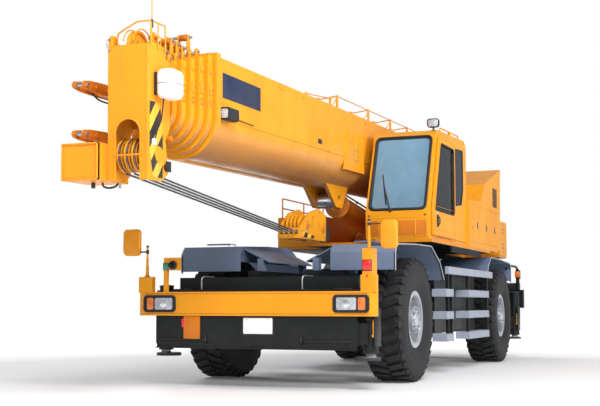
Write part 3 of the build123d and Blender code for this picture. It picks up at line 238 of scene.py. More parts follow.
def two_tone(name, first, second, mask_of, first_rough=0.35, second_rough=0.5, coat=0.3):
    """Paint in two colours on one solid, parted by its place."""
    finish = Finish(name, {"Coat Roughness": 0.15, "Specular IOR Level": 0.2})
    mask = mask_of(finish).held()
    patches = finish.noise(1.6, 4.0).ramp(0.35, 0.7)
    streaks = finish.noise(4.0, 5.0, 0.6, (1, 1, 0.2)).ramp(0.5, 0.85)
    first_shade = tuple(channel * 0.82 for channel in first)
    second_shade = tuple(channel * 0.7 for channel in second)
    over = finish.blend(patches * 0.5, first, first_shade)
    under = finish.blend(patches * 0.6, second, second_shade)
    worn_and_lit_edges = finish.edges(0.006)
    base = finish.blend(mask, under, over)
    # Lighter chips along the edges: painted edge highlight, partly wear.
    chips_and_edge_highlights = (worn_and_lit_edges * finish.noise(36.0, 4.0).ramp(0.45, 0.65)).held()
    pale = finish.blend(0.5, base, (0.55, 0.5, 0.42))
    base = finish.blend(chips_and_edge_highlights * 0.45, base, pale)
    base = finish.blend(streaks * 0.1, base, (0.12, 0.1, 0.08))
    finish.colour(base)
    finish.rough(second_rough + (first_rough - second_rough) * mask + 0.12 * patches)
    finish.feed(finish.shader.inputs["Coat Weight"], mask * coat)
    finish.relief(finish.noise(230.0, 2.0) * 0.3 + finish.noise(7.0, 2.0), 0.0008, 0.5)
    return finish


def metal(name, colour, rough, grain=60.0, stretch=(1, 1, 1), metallic=1.0):
    """Bare or plated metal with fine marks along one way."""
    finish = Finish(name, {"Metallic": metallic})
    marks = finish.noise(grain, 4.0, 0.6, stretch)
    stain = finish.noise(3.0, 4.0).ramp(0.4, 0.75)
    dark = tuple(channel * 0.7 for channel in colour)
    finish.colour(finish.blend(stain * 0.5, colour, dark))
    finish.rough(rough + 0.18 * marks.ramp(0.3, 0.7) + 0.1 * stain)
    finish.relief(marks, 0.0005, 0.35)
    return finish


def moulding(name, colour, rough, grain=320.0, depth=0.0006, settings=None):
    """Moulded plastic or rubber with a fine grain."""
    finish = Finish(name, settings)
    fine = finish.noise(grain, 2.0)
    patches = finish.noise(5.0, 4.0).ramp(0.35, 0.75)
    pale = tuple(min(1.0, channel * 1.5 + 0.01) for channel in colour)
    worn_and_lit_edges = finish.edges(0.004, 3.0)
    # Lighter along the edges (painted edge highlight, partly wear) and in random patches.
    finish.colour(finish.blend((patches * 0.35 + worn_and_lit_edges * 0.3).held(), colour, pale))
    finish.rough(rough + 0.15 * patches)
    finish.relief(fine, depth, 0.6)
    return finish


def lens(name, colour, glow=0.0, ribs=90.0):
    """Moulded lamp lens: fluted, glossy and slightly deep."""
    finish = Finish(name, {"Coat Weight": 0.8, "Coat Roughness": 0.03, "IOR": 1.5})
    flutes = finish.node("Math", {"operation": "SINE"}, {0: finish.axis(0) * (ribs * 6.28)})
    flutes = flutes + finish.node("Math", {"operation": "SINE"}, {0: finish.axis(2) * (ribs * 6.28)})
    depth = finish.noise(14.0, 2.0).ramp(0.3, 0.7)
    deep = tuple(channel * 0.45 for channel in colour)
    finish.colour(finish.blend(depth * 0.6, colour, deep))
    finish.rough(0.1 + 0.1 * depth)
    finish.relief(flutes, 0.0012, 0.6)
    if glow:
        finish.feed(finish.shader.inputs["Emission Color"], colour)
        finish.shader.inputs["Emission Strength"].default_value = glow
    return finish


def tinted_glass(name, colour, alpha, gloss):
    """Tinted safety glass: see-through, with a faint layer of dust and a painted sky reflection that makes
    it paler towards the top.
    """
    finish = Finish(name, {"IOR": 1.5, "Coat Weight": gloss, "Coat Roughness": 0.02,
                           "Specular IOR Level": 0.5 * gloss + 0.1})
    patchy_overlay = finish.noise(2.6, 5.0, 0.6).ramp(0.35, 0.8)
    pale = tuple(channel * 1.4 + 0.004 for channel in colour)
    # Paler towards the top: painted sky reflection.
    painted_sky_reflection = finish.axis(2).ramp(2.2, 3.4)
    finish.colour(finish.blend((painted_sky_reflection * 0.6 + patchy_overlay * 0.3).held(), colour, pale))
    finish.rough(0.04 + 0.08 * patchy_overlay)
    rim = finish.node("LayerWeight", {}, {"Blend": 0.35})
    finish.feed(finish.shader.inputs["Alpha"], (alpha + 0.12 * patchy_overlay + 0.2 * rim).held())
    return finish


def stripes(name, first, second, width, across, along):
    """Slanted warning stripes in two paints."""
    finish = Finish(name, {"Coat Weight": 0.3, "Coat Roughness": 0.2})
    slant = finish.axis(along) - finish.axis(across) * 1.3
    band = ((slant / width) % 2.0) > 1.0
    wear = finish.noise(22.0, 5.0).ramp(0.5, 0.8)
    base = finish.blend(band, first, second)
    finish.colour(finish.blend(wear * 0.18, base, (0.2, 0.17, 0.12)))
    finish.rough(0.4 + 0.2 * wear)
    finish.relief(finish.noise(220.0, 2.0), 0.0006, 0.4)
    return finish


amber_colour = (0.82, 0.335, 0.011)
amber_shade = (0.74, 0.262, 0.007)
black_colour = (0.006, 0.008, 0.009)
slate_colour = (0.15, 0.2, 0.3)
# The sixth argument of each paint is its edge colour: painted edge highlight, partly wear.
amber = paint("amber_paint", amber_colour, amber_shade, 0.32, 0.12, (1.0, 0.72, 0.3))
# The boom paint's below colour is painted shade and reflection on its underside.
boom_amber = paint("boom_amber_paint", amber_colour, amber_shade, 0.28, 0.15, (1.0, 0.72, 0.3),
                   below=(0.17, 0.12, 0.12))
pale_amber = paint("pale_amber_paint", (0.84, 0.33, 0.018), (0.78, 0.27, 0.01), 0.36, 0.1, (1.0, 0.72, 0.3))
burnt_amber = paint("burnt_amber_paint", (0.64, 0.19, 0.01), (0.5, 0.13, 0.008), 0.42, 0.2, (0.95, 0.6, 0.2))
slate = paint("slate_paint", slate_colour, (0.11, 0.15, 0.225), 0.42, 0.15, (0.36, 0.4, 0.48))
chassis_black = paint("chassis_black", black_colour, (0.014, 0.017, 0.018), 0.4, 0.1, (0.05, 0.055, 0.06),
                      (0.05, 0.043, 0.036), 0.9)
step_grey = paint("step_grey", (0.34, 0.37, 0.44), (0.28, 0.31, 0.37), 0.45, 0.1, (0.6, 0.62, 0.66))
iron = metal("cast_iron", (0.09, 0.09, 0.095), 0.55, 45.0, (1, 1, 1), 0.6)
silver = metal("silver_rim", (0.62, 0.64, 0.68), 0.3, 70.0, (1, 1, 1), 0.75)
chrome = metal("hard_chrome", (0.78, 0.79, 0.8), 0.12, 50.0, (1, 0.1, 0.1))
steel = metal("bright_steel", (0.5, 0.51, 0.53), 0.32, 60.0, (1, 1, 0.1))
black_steel = metal("blackened_steel", (0.05, 0.05, 0.055), 0.4, 40.0, (1, 1, 1), 0.7)
rubber = moulding("black_rubber", (0.008, 0.008, 0.009), 0.6, 260.0)
black_plastic = moulding("black_plastic", (0.014, 0.015, 0.017), 0.42)
white_plastic = moulding("white_plastic", (0.84, 0.85, 0.86), 0.35, 200.0, 0.0003)
white_sheet = moulding("white_sheet", (0.86, 0.87, 0.88), 0.28, 120.0, 0.0002)
blue_sheet = moulding("blue_sheet", (0.012, 0.022, 0.06), 0.3, 120.0, 0.0002)
clear_lens = lens("clear_lens", (0.5, 0.54, 0.58), 0.0, 40.0)
orange_lens = lens("orange_lens", (0.9, 0.2, 0.02), 0.1, 60.0)
red_lens = lens("red_lens", (0.8, 0.012, 0.016), 0.25, 60.0)
green_lens = lens("green_lens", (0.01, 0.28, 0.14), 0.1, 60.0)
mirror_face = metal("mirror_glass", (0.86, 0.88, 0.9), 0.03, 20.0)
windscreen = tinted_glass("windscreen_glass", (0.2, 0.37, 0.52), 0.5, 0.5)
dark_glass = tinted_glass("side_glass", (0.004, 0.009, 0.011), 0.74, 0.15)
warning = stripes("warning_stripes", (0.93, 0.46, 0.03), (0.01, 0.01, 0.012), 0.155, 1, 2)


def make_tyre_rubber():
    """Tyre rubber: matt, dusty in the grooves, with fine rings on its walls."""
    finish = Finish("tyre_rubber", {"Specular IOR Level": 0.35})
    dust = finish.noise(7.0, 5.0).ramp(0.4, 0.8)
    fine = finish.noise(190.0, 3.0)
    worn_and_lit_edges = finish.edges(0.008, 3.0)
    base = finish.blend(dust * 0.45, (0.011, 0.012, 0.014), (0.05, 0.048, 0.045))
    # Lighter along the edges: painted edge highlight, partly wear.
    finish.colour(finish.blend(worn_and_lit_edges * 0.25, base, (0.07, 0.07, 0.072)))
    finish.rough(0.62 + 0.2 * dust)
    finish.relief(fine + finish.noise(30.0, 3.0), 0.0012, 0.6)
    return finish


def make_rope_steel():
    """Greased wire rope: dark in the lay, bright on the crowns."""
    finish = Finish("rope_steel", {"Metallic": 0.8})
    grease = finish.noise(16.0, 4.0).ramp(0.35, 0.75)
    fine = finish.noise(420.0, 2.0)
    finish.colour(finish.blend(grease * 0.7, (0.17, 0.17, 0.18), (0.03, 0.028, 0.026)))
    finish.rough(0.4 + 0.25 * grease)
    finish.relief(fine, 0.0006, 0.5)
    return finish


def make_seat_cloth():
    """Woven seat cloth with a slight pile."""
    finish = Finish("seat_cloth", {"Sheen Weight": 0.3, "Sheen Roughness": 0.5})
    warp = finish.node("Math", {"operation": "SINE"}, {0: finish.axis(0) * 1400.0})
    weft = finish.node("Math", {"operation": "SINE"}, {0: (finish.axis(1) + finish.axis(2)) * 1400.0})
    weave = warp * weft
    patches = finish.noise(8.0, 4.0).ramp(0.35, 0.7)
    base = finish.blend(weave.ramp(-1.0, 1.0), (0.03, 0.032, 0.036), (0.055, 0.058, 0.064))
    finish.colour(finish.blend(patches * 0.3, base, (0.08, 0.08, 0.085)))
    finish.rough(0.78 + 0.1 * patches)
    finish.relief(weave, 0.001, 0.6)
    return finish


tyre_rubber = make_tyre_rubber()
rope_steel = make_rope_steel()
seat_cloth = make_seat_cloth()


def above(level):
    return lambda finish: finish.axis(2).ramp(level - 0.001, level + 0.001)


def cab_skin(finish):
    """1 on the cab's outside, 0 on its lining."""
    x, y, z = (finish.axis(number) for number in range(3))
    under_roof = (z - 0.038 * y < 3.365) * (z - 0.5454 * y < 3.318)
    inside = (x > 0.475) * (x < 1.35) * (z > 1.862) * (y < 1.79) * under_roof
    behind_shield = (y - 0.3757 * (z - 2.215) > -0.417) * (y > -0.417)
    return 1 - inside * behind_shield


def steps_and_uprights(finish):
    """1 on the treads, 0 on the uprights behind them."""
    z = finish.axis(2)
    return (z > 1.388) + (z > 1.073) * (z < 1.182) + (z > 0.763) * (z < 0.872) + (z > 0.453) * (z < 0.562)


def hook_and_cheeks(finish):
    """1 on the yellow cheeks, 0 on the black hook behind them."""
    return finish.axis(1) < -1.4045


def coat(finish, *names):
    """Gives CAD nodes their finish."""
    for name in names:
        slots = nodes[name].data.materials
        for index in range(len(slots)):
            slots[index] = finish.material
        if not len(slots):
            slots.append(finish.material)


def dress_nodes():
    jack_finish = two_tone("jack_finish", (0.42, 0.43, 0.45), (0.05, 0.05, 0.052), above(0.3805), 0.3, 0.5,
                           0.0)
    turntable_paint = two_tone("turntable_paint", amber_shade, black_colour, above(1.803), 0.35, 0.5)
    cab_paint = two_tone("cab_paint", amber_colour, (0.05, 0.052, 0.056), cab_skin, 0.3, 0.6, 0.12)
    step_paint = two_tone("step_paint", (0.34, 0.37, 0.44), black_colour, steps_and_uprights, 0.45, 0.5, 0.1)
    hook_paint = two_tone("hook_paint", amber_colour, (0.03, 0.03, 0.032), hook_and_cheeks, 0.35, 0.45)
    coat(chassis_black, "carrier_frame", "carrier_deck", "outrigger_housings", "side_boxes", "rear_bumper")
    coat(chassis_black, "axles", *(f"knuckle_{spot}" for spot in wheel_spots))
    coat(chassis_black, *(f"outrigger_beam_{spot}" for spot in wheel_spots))
    coat(jack_finish, *(f"jack_{spot}" for spot in wheel_spots))
    coat(silver, *(f"rim_{spot}" for spot in wheel_spots))
    coat(slate, "wheel_covers", "engine_hood")
    coat(iron, "engine")
    coat(step_paint, "side_steps")
    coat(turntable_paint, "turntable")
    coat(cab_paint, "cab_shell")
    coat(amber, "cab_door", "left_cover", "right_cover", "counterweight", "front_bumper")
    coat(boom_amber, "boom_base", *(f"boom_section_{number}" for number in range(2, 7)))
    coat(pale_amber, "boom_head", "jib")
    coat(burnt_amber, "derrick_barrel", "winch_drum_main", "winch_drum_aux")
    coat(chrome, "derrick_rod")
    coat(windscreen, "cab_glass")
    coat(dark_glass, "door_glass")
    coat(hook_paint, "hook_block")
    coat(black_plastic, "boom_lamp")


wheel_spots = {"front_left": (1, front_axle_y), "front_right": (-1, front_axle_y),
               "rear_left": (1, rear_axle_y), "rear_right": (-1, rear_axle_y), }


# Repeats grown by Geometry Nodes
class Growth:
    """A Geometry Nodes tree with named sizes, grown into a plain mesh."""

    def __init__(self, name, sizes):
        self.tree = bpy.data.node_groups.new(name, "GeometryNodeTree")
        self.ids = {}
        self.tree.interface.new_socket("Geometry", in_out="OUTPUT", socket_type="NodeSocketGeometry")
        for label, value in sizes.items():
            kind = "NodeSocketInt" if isinstance(value, int) else "NodeSocketFloat"
            socket = self.tree.interface.new_socket(label, in_out="INPUT", socket_type=kind)
            socket.default_value = value
            self.ids[label] = socket.identifier
        socket = self.tree.interface.new_socket("Finish", in_out="INPUT", socket_type="NodeSocketMaterial")
        self.ids["Finish"] = socket.identifier
        self.start = self.tree.nodes.new("NodeGroupInput")

    def size(self, label):
        return self.start.outputs[label]

    def node(self, kind, inputs=None, settings=None, output=0):
        node = self.tree.nodes.new(kind)
        for label, value in (settings or {}).items():
            setattr(node, label, value)
        for label, value in (inputs or {}).items():
            if isinstance(value, bpy.types.NodeSocket):
                self.tree.links.new(value, node.inputs[label])
            else:
                node.inputs[label].default_value = value
        return node.outputs[output]

    def maths(self, operation, first, second=0.0):
        return self.node("ShaderNodeMath", {0: first, 1: second}, {"operation": operation})

    def vector(self, x=0.0, y=0.0, z=0.0):
        return self.node("ShaderNodeCombineXYZ", {0: x, 1: y, 2: z})

    def join(self, *shapes):
        node = self.tree.nodes.new("GeometryNodeJoinGeometry")
        for shape in reversed(shapes):
            self.tree.links.new(shape, node.inputs[0])
        return node.outputs[0]

    def close(self, shape):
        real = self.node("GeometryNodeRealizeInstances", {0: shape})
        coated = self.node("GeometryNodeSetMaterial", {"Geometry": real, "Material": self.size("Finish")})
        end = self.tree.nodes.new("NodeGroupOutput")
        self.tree.links.new(coated, end.inputs[0])
        return self

    def grow(self, finish, **sizes):
        carrier = bpy.data.objects.new("growth", bpy.data.meshes.new("growth"))
        bpy.context.scene.collection.objects.link(carrier)
        modifier = carrier.modifiers.new("growth", "NODES")
        modifier.node_group = self.tree
        modifier[self.ids["Finish"]] = finish.material
        for label, value in sizes.items():
            modifier[self.ids[label]] = value
        graph = bpy.context.evaluated_depsgraph_get()
        mesh = bpy.data.meshes.new_from_object(carrier.evaluated_get(graph))
        carrier.modifiers.clear()
        bpy.data.objects.remove(carrier)
        return mesh


def make_stud_ring():
    """Hexagon nuts with their stud ends, on a ring round the z axis."""
    tree = Growth("stud_ring", {"count": 10, "ring": 0.2, "nut": 0.02, "height": 0.02})
    ring = tree.node("GeometryNodeMeshCircle", {"Vertices": tree.size("count"), "Radius": tree.size("ring")})
    nut = tree.node("GeometryNodeMeshCylinder", {"Vertices": 6, "Radius": tree.size("nut"),
                                                 "Depth": tree.size("height")})
    stud_radius = tree.maths("MULTIPLY", tree.size("nut"), 0.5)
    stud_height = tree.maths("MULTIPLY", tree.size("height"), 1.8)
    stud = tree.node("GeometryNodeMeshCylinder", {"Vertices": 8, "Radius": stud_radius,
                                                  "Depth": stud_height})
    washer_radius = tree.maths("MULTIPLY", tree.size("nut"), 1.3)
    washer_height = tree.maths("MULTIPLY", tree.size("height"), 0.3)
    washer = tree.node("GeometryNodeMeshCylinder", {"Vertices": 12, "Radius": washer_radius,
                                                    "Depth": washer_height})
    return tree.close(tree.node("GeometryNodeInstanceOnPoints",
                                {"Points": ring, "Instance": tree.join(nut, stud, washer)}))


def make_bar_row():
    """Equal bars side by side along y, from the first one's middle."""
    tree = Growth("bar_row", {"count": 8, "pitch": 0.05, "long": 0.3, "wide": 0.02, "tall": 0.01})
    step = tree.vector(0.0, tree.size("pitch"), 0.0)
    line = tree.node("GeometryNodeMeshLine", {"Count": tree.size("count"), "Offset": step})
    size = tree.vector(tree.size("long"), tree.size("wide"), tree.size("tall"))
    bar = tree.node("GeometryNodeMeshCube", {"Size": size})
    return tree.close(tree.node("GeometryNodeInstanceOnPoints", {"Points": line, "Instance": bar}))


def make_lug_ring():
    """Tread blocks round the z axis, each turned about its own place, in one row."""
    tree = Growth("lug_ring", {"count": 26, "radius": 0.75, "long": 0.2, "wide": 0.09, "tall": 0.04,
                               "skew": 0.3, "lean": 0.0, "start": 0.0, "rise": 0.1})
    ring = tree.node("GeometryNodeMeshCircle", {"Vertices": tree.size("count"),
                                                "Radius": tree.size("radius")})
    turn = tree.maths("DIVIDE", 2 * math.pi, tree.size("count"))
    index = tree.node("GeometryNodeInputIndex")
    angle = tree.maths("MULTIPLY", index, turn)
    size = tree.vector(tree.size("tall"), tree.size("wide"), tree.size("long"))
    block = tree.node("GeometryNodeMeshCube", {"Size": size})
    skewed = tree.node("GeometryNodeTransform", {"Geometry": block,
                                                 "Rotation": tree.vector(tree.size("skew"),
                                                                         tree.size("lean"), 0.0),
                                                 "Translation": tree.vector(0.0, 0.0, tree.size("rise"))})
    placed = tree.node("GeometryNodeInstanceOnPoints",
                       {"Points": ring, "Instance": skewed, "Rotation": tree.vector(0.0, 0.0, angle)})
    turned = tree.node("GeometryNodeTransform", {"Geometry": placed,
                                                 "Rotation": tree.vector(0.0, 0.0, tree.size("start"))})
    return tree.close(turned)


def make_rope_winding():
    """A layer of rope wound side by side round the z axis."""
    tree = Growth("rope_winding", {"turns": 20.0, "radius": 0.2, "width": 0.5, "rope": 0.011})
    spiral = tree.node("GeometryNodeCurveSpiral", {"Resolution": 28, "Rotations": tree.size("turns"),
                                                   "Start Radius": tree.size("radius"),
                                                   "End Radius": tree.size("radius"),
                                                   "Height": tree.size("width")})
    section = tree.node("GeometryNodeCurvePrimitiveCircle", {"Resolution": 6, "Radius": tree.size("rope")})
    return tree.close(tree.node("GeometryNodeCurveToMesh", {"Curve": spiral, "Profile Curve": section}))


def make_laid_rope():
    """A straight wire rope along z whose strands are laid in a helix."""
    tree = Growth("laid_rope", {"length": 1.0, "radius": 0.011, "lay": 0.12})
    end = tree.vector(0.0, 0.0, tree.size("length"))
    line = tree.node("GeometryNodeCurvePrimitiveLine", {"End": end})
    steps_in_lay = 7
    step = tree.maths("DIVIDE", tree.size("lay"), float(steps_in_lay))
    fine = tree.node("GeometryNodeResampleCurve", {"Curve": line, "Length": step}, {"mode": "LENGTH"})
    index = tree.node("GeometryNodeInputIndex")
    tilt = tree.maths("MULTIPLY", index, 2 * math.pi / steps_in_lay)
    laid = tree.node("GeometryNodeSetCurveTilt", {"Curve": fine, "Tilt": tilt})
    valley = tree.maths("MULTIPLY", tree.size("radius"), 0.78)
    section = tree.node("GeometryNodeCurveStar", {"Points": 6, "Inner Radius": valley,
                                                  "Outer Radius": tree.size("radius")})
    return tree.close(tree.node("GeometryNodeCurveToMesh", {"Curve": laid, "Profile Curve": section}))


stud_ring = make_stud_ring()
bar_row = make_bar_row()
lug_ring = make_lug_ring()
rope_winding = make_rope_winding()
laid_rope = make_laid_rope()


# Forms gathered into the scene's pieces
def boom_place():
    """The boom's own coordinates: x along it from the pivot, y to its left side, z up."""
    along = (0, -math.cos(boom_tilt), -math.sin(boom_tilt))
    up = (0, -math.sin(boom_tilt), math.cos(boom_tilt))
    rows = [[along[i], (1, 0, 0)[i], up[i], boom_pivot[i]] for i in range(3)]
    return Matrix(rows + [[0, 0, 0, 1]])


boom_matrix = boom_place()


def along_axis(start, direction):
    """A place whose z axis points along a direction."""
    turn = Vector(direction).normalized().to_track_quat("Z", "Y").to_matrix().to_4x4()
    return Matrix.Translation(start) @ turn


def arched(width, height, arch, steps=8):
    """Outline of an opening with a flat foot and an arched top, from (0, 0) at its foot's middle."""
    half = width / 2
    points = [(half, 0), (half, height - arch)]
    for index in range(1, steps):
        angle = math.pi * index / steps
        points.append((half * math.cos(angle), height - arch + arch * math.sin(angle)))
    return points + [(-half, height - arch), (-half, 0)]


def rounded_rect(centre, width, height, corner, steps=4):
    """Outline of a rectangle with rounded corners."""
    points = []
    for quarter in range(4):
        side_x = 1 if quarter in (0, 3) else -1
        side_y = 1 if quarter in (0, 1) else -1
        middle = (centre[0] + side_x * (width / 2 - corner), centre[1] + side_y * (height / 2 - corner))
        for index in range(steps + 1):
            angle = math.pi / 2 * (quarter + index / steps)
            points.append((middle[0] + corner * math.cos(angle), middle[1] + corner * math.sin(angle)))
    return points


def bent(points, radius, steps=5):
    """A pipe's path with its corners rounded."""
    path = [Vector(points[0])]
    for before, corner, after in zip(points, points[1:], points[2:]):
        before, corner, after = Vector(before), Vector(corner), Vector(after)
        reach = min(radius, (corner - before).length / 2.1, (after - corner).length / 2.1)
        start = corner + (before - corner).normalized() * reach
        end = corner + (after - corner).normalized() * reach
        for index in range(steps + 1):
            part = index / steps
            path.append(start.lerp(corner, part).lerp(corner.lerp(end, part), part))
    return path + [Vector(points[-1])]


class Piece:
    """One object of the scene, gathered from forms that each have a finish."""

    def __init__(self, name, body, slot, stands_for=(), place=None):
        self.name = name
        self.body = body
        self.slot = slot
        self.stands_for = stands_for
        self.place = place or Matrix.Identity(4)
        self.shape = bmesh.new()
        self.finishes = []

    def take(self, form, finish, turn=None):
        """Adds a form, with its faces turned outwards."""
        bmesh.ops.remove_doubles(form, verts=form.verts, dist=1e-6)
        bmesh.ops.recalc_face_normals(form, faces=form.faces)
        if finish not in self.finishes:
            self.finishes.append(finish)
        for face in form.faces:
            face.material_index = self.finishes.index(finish)
            face.smooth = True
        mesh = bpy.data.meshes.new("form")
        form.to_mesh(mesh)
        form.free()
        mesh.transform(self.place @ (turn or Matrix.Identity(4)))
        self.shape.from_mesh(mesh)
        bpy.data.meshes.remove(mesh)

    def grown(self, mesh, finish, turn=None):
        """Adds a mesh grown by Geometry Nodes."""
        form = bmesh.new()
        form.from_mesh(mesh)
        bpy.data.meshes.remove(mesh)
        self.take(form, finish, turn)

    def soften(self, form, round_by, steps):
        if round_by <= 0:
            return
        bmesh.ops.recalc_face_normals(form, faces=form.faces)
        sharp = [edge for edge in form.edges if edge.is_manifold and edge.calc_face_angle() > 0.6]
        bmesh.ops.bevel(form, geom=sharp, offset=round_by, segments=steps, profile=0.5, affect="EDGES",
                        clamp_overlap=True)

    def block(self, low, high, finish, round_by=0.004, turn=None, steps=2):
        form = bmesh.new()
        bmesh.ops.create_cube(form, size=1)
        for vert in form.verts:
            vert.co = [low[i] + (vert.co[i] + 0.5) * (high[i] - low[i]) for i in range(3)]
        self.soften(form, round_by, steps)
        self.take(form, finish, turn)

    def prism(self, outline, over, start, end, finish, round_by=0.003, turn=None, steps=2):
        """An outline carried along one axis; its two numbers are the other axes' in order."""
        form = bmesh.new()
        first, second = (number for number in range(3) if number != over)
        rings = []
        for depth in (start, end):
            ring = []
            for point in outline:
                place = [0.0, 0.0, 0.0]
                place[over], place[first], place[second] = depth, point[0], point[1]
                ring.append(form.verts.new(place))
            rings.append(ring)
            form.faces.new(ring)
        for index in range(len(outline)):
            after = (index + 1) % len(outline)
            form.faces.new((rings[0][index], rings[0][after], rings[1][after], rings[1][index]))
        self.soften(form, round_by, steps)
        self.take(form, finish, turn)

    def rod(self, start, end, radius, finish, sides=18, round_by=0.0, end_radius=None, turn=None):
        form = bmesh.new()
        start, end = Vector(start), Vector(end)
        bmesh.ops.create_cone(form, cap_ends=True, segments=sides, radius1=radius,
                              radius2=radius if end_radius is None else end_radius,
                              depth=(end - start).length)
        self.soften(form, round_by, 2)
        middle = along_axis((start + end) / 2, end - start)
        bmesh.ops.transform(form, matrix=middle, verts=form.verts)
        self.take(form, finish, turn)

    def skin(self, rings, finish, turn=None, caps=(), closed=False):
        """Walls from each ring of points to the next, with flat ends on the rings named in caps."""
        form = bmesh.new()
        rows = [[form.verts.new(point) for point in ring] for ring in rings]
        pairs = list(zip(rows, rows[1:]))
        if closed:
            pairs.append((rows[-1], rows[0]))
        for low, high in pairs:
            for index in range(len(low)):
                after = (index + 1) % len(low)
                form.faces.new((low[index], low[after], high[after], high[index]))
        for number in caps:
            form.faces.new(rows[number])
        self.take(form, finish, turn)

    def pipe(self, path, radius, finish, sides=10, turn=None):
        """A round bar or pipe swept along a path."""
        path = [Vector(point) for point in path]
        path = path[:1] + [point for before, point in zip(path, path[1:]) if (point - before).length > 1e-5]
        side = (path[1] - path[0]).orthogonal().normalized()
        rings = []
        for index, point in enumerate(path):
            before = path[max(index - 1, 0)]
            after = path[min(index + 1, len(path) - 1)]
            forward = (after - before).normalized()
            side = (side - forward * side.dot(forward)).normalized()
            other = forward.cross(side)
            ring = []
            for step in range(sides):
                angle = 2 * math.pi * step / sides
                ring.append(point + (side * math.cos(angle) + other * math.sin(angle)) * radius)
            rings.append(ring)
        self.skin(rings, finish, turn, (0, -1))

    def studs(self, finish, count, ring, nut, height, start, direction):
        """Nuts with their stud ends, on a ring round an axis."""
        mesh = stud_ring.grow(finish, count=count, ring=ring, nut=nut, height=height)
        self.grown(mesh, finish, along_axis(start, direction))

    def tube(self, points, corner, radius, finish, sides=10, turn=None):
        """A pipe with rounded corners."""
        self.pipe(bent(points, corner), radius, finish, sides, turn)

    def ring(self, points, radius, finish, sides=8):
        """A bar laid round a closed outline."""
        self.pipe(points + [points[0]], radius, finish, sides)

    def bars(self, finish, count, pitch, long, wide, tall, place):
        """A row of equal bars."""
        mesh = bar_row.grow(finish, count=count, pitch=pitch, long=long, wide=wide, tall=tall)
        self.grown(mesh, finish, place)

    def lathe(self, profile, start, direction, finish, sides=48, turn=None, closed=False):
        """A profile of (radius, distance) turned round an axis from its start."""
        place = along_axis(start, direction)
        rings = []
        for radius, distance in profile:
            ring = []
            for step in range(sides):
                angle = 2 * math.pi * step / sides
                point = Vector((radius * math.cos(angle), radius * math.sin(angle), distance))
                ring.append(place @ point)
            rings.append(ring)
        caps = [end for end in (0, -1) if not closed and profile[end][0] > 1e-5]
        self.skin(rings, finish, turn, caps, closed)

    def done(self, sharp=38):
        mesh = bpy.data.meshes.new(self.name)
        self.shape.to_mesh(mesh)
        self.shape.free()
        for finish in self.finishes:
            mesh.materials.append(finish.material)
        mesh.set_sharp_from_angle(angle=math.radians(sharp))
        thing = bpy.data.objects.new(self.name, mesh)
        bpy.context.scene.collection.objects.link(thing)
        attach(thing, self.body)
        if self.stands_for:
            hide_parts(*self.stands_for)
        return thing


# Wheels
def make_wheels():
    """The tyres with their lugs, and the rims' lips, caps, nuts and valves."""
    wall = [(0.33, -0.19), (0.36, -0.215), (0.41, -0.238), (0.47, -0.252), (0.56, -0.26), (0.64, -0.257),
            (0.69, -0.252), (0.72, -0.24), (0.738, -0.21), (0.742, -0.1), (0.742, 0.0)]
    profile = wall + [(radius, -side) for radius, side in reversed(wall[:-1])]
    for spot, (side, axle_y) in wheel_spots.items():
        centre = (side * wheel_side, axle_y, axle_height)
        hub = along_axis(centre, (side, 0, 0))
        tyre = Piece(f"tyre_{spot}_tread", f"wheel_{spot}", "tyre", (f"tyre_{spot}",))
        tyre.lathe(profile + [(0.325, 0.17), (0.325, -0.17)], centre, (side, 0, 0), tyre_rubber, 96,
                   closed=True)
        for ring_radius, ring_side in ((0.43, 0.243), (0.5, 0.255), (0.66, 0.2545)):
            ring = [(ring_radius - 0.008, ring_side), (ring_radius, ring_side + 0.005),
                    (ring_radius + 0.008, ring_side)]
            tyre.lathe(ring + [(ring_radius, ring_side - 0.012)], centre, (side, 0, 0), tyre_rubber, 96,
                       closed=True)
        for row, start in ((-1, 0.0), (1, math.pi / lug_count)):
            tyre.grown(lug_ring.grow(tyre_rubber, count=lug_count, radius=0.7495, long=0.2, wide=0.074,
                                     tall=0.044, skew=row * 0.36, lean=row * 0.05, start=start,
                                     rise=row * 0.105), tyre_rubber, hub)
            tyre.grown(lug_ring.grow(tyre_rubber, count=lug_count, radius=0.73, long=0.055, wide=0.078,
                                     tall=0.06, skew=row * 0.16, lean=row * 0.62, start=start - row * 0.015,
                                     rise=row * 0.213), tyre_rubber, hub)
        tyre.done()
        rim = Piece(f"rim_{spot}_dress", f"wheel_{spot}", "rim_silver")
        rim.studs(steel, 10, 0.1385, 0.017, 0.026, (side * (wheel_side + 0.228), axle_y, axle_height),
                  (side, 0, 0))
        lip = [(0.376, 0.208), (0.376, 0.218), (0.382, 0.224), (0.391, 0.22), (0.393, 0.208)]
        rim.lathe(lip, centre, (side, 0, 0), silver, 72, closed=True)
        bead = [(0.296, 0.178), (0.296, 0.188), (0.302, 0.192), (0.31, 0.186), (0.31, 0.178)]
        rim.lathe(bead, centre, (side, 0, 0), silver, 72, closed=True)
        cap = [(0.09, 0.212), (0.09, 0.226), (0.07, 0.24), (0.03, 0.246), (0.001, 0.247)]
        rim.lathe(cap, centre, (side, 0, 0), silver, 36)
        dish = [(0.17, 0.086), (0.175, 0.094), (0.19, 0.098), (0.198, 0.086)]
        rim.lathe(dish, centre, (side, 0, 0), silver, 60, closed=True)
        rim.studs(steel, 16, 0.281, 0.012, 0.016, (side * (wheel_side + 0.094), axle_y, axle_height),
                  (side, 0, 0))
        valve = [(0.0, 0.27, 0.1), (0.0, 0.255, 0.15), (0.0, 0.25, 0.19)]
        rim.tube(valve, 0.02, 0.005, black_steel, 8, hub)
        rim.done()


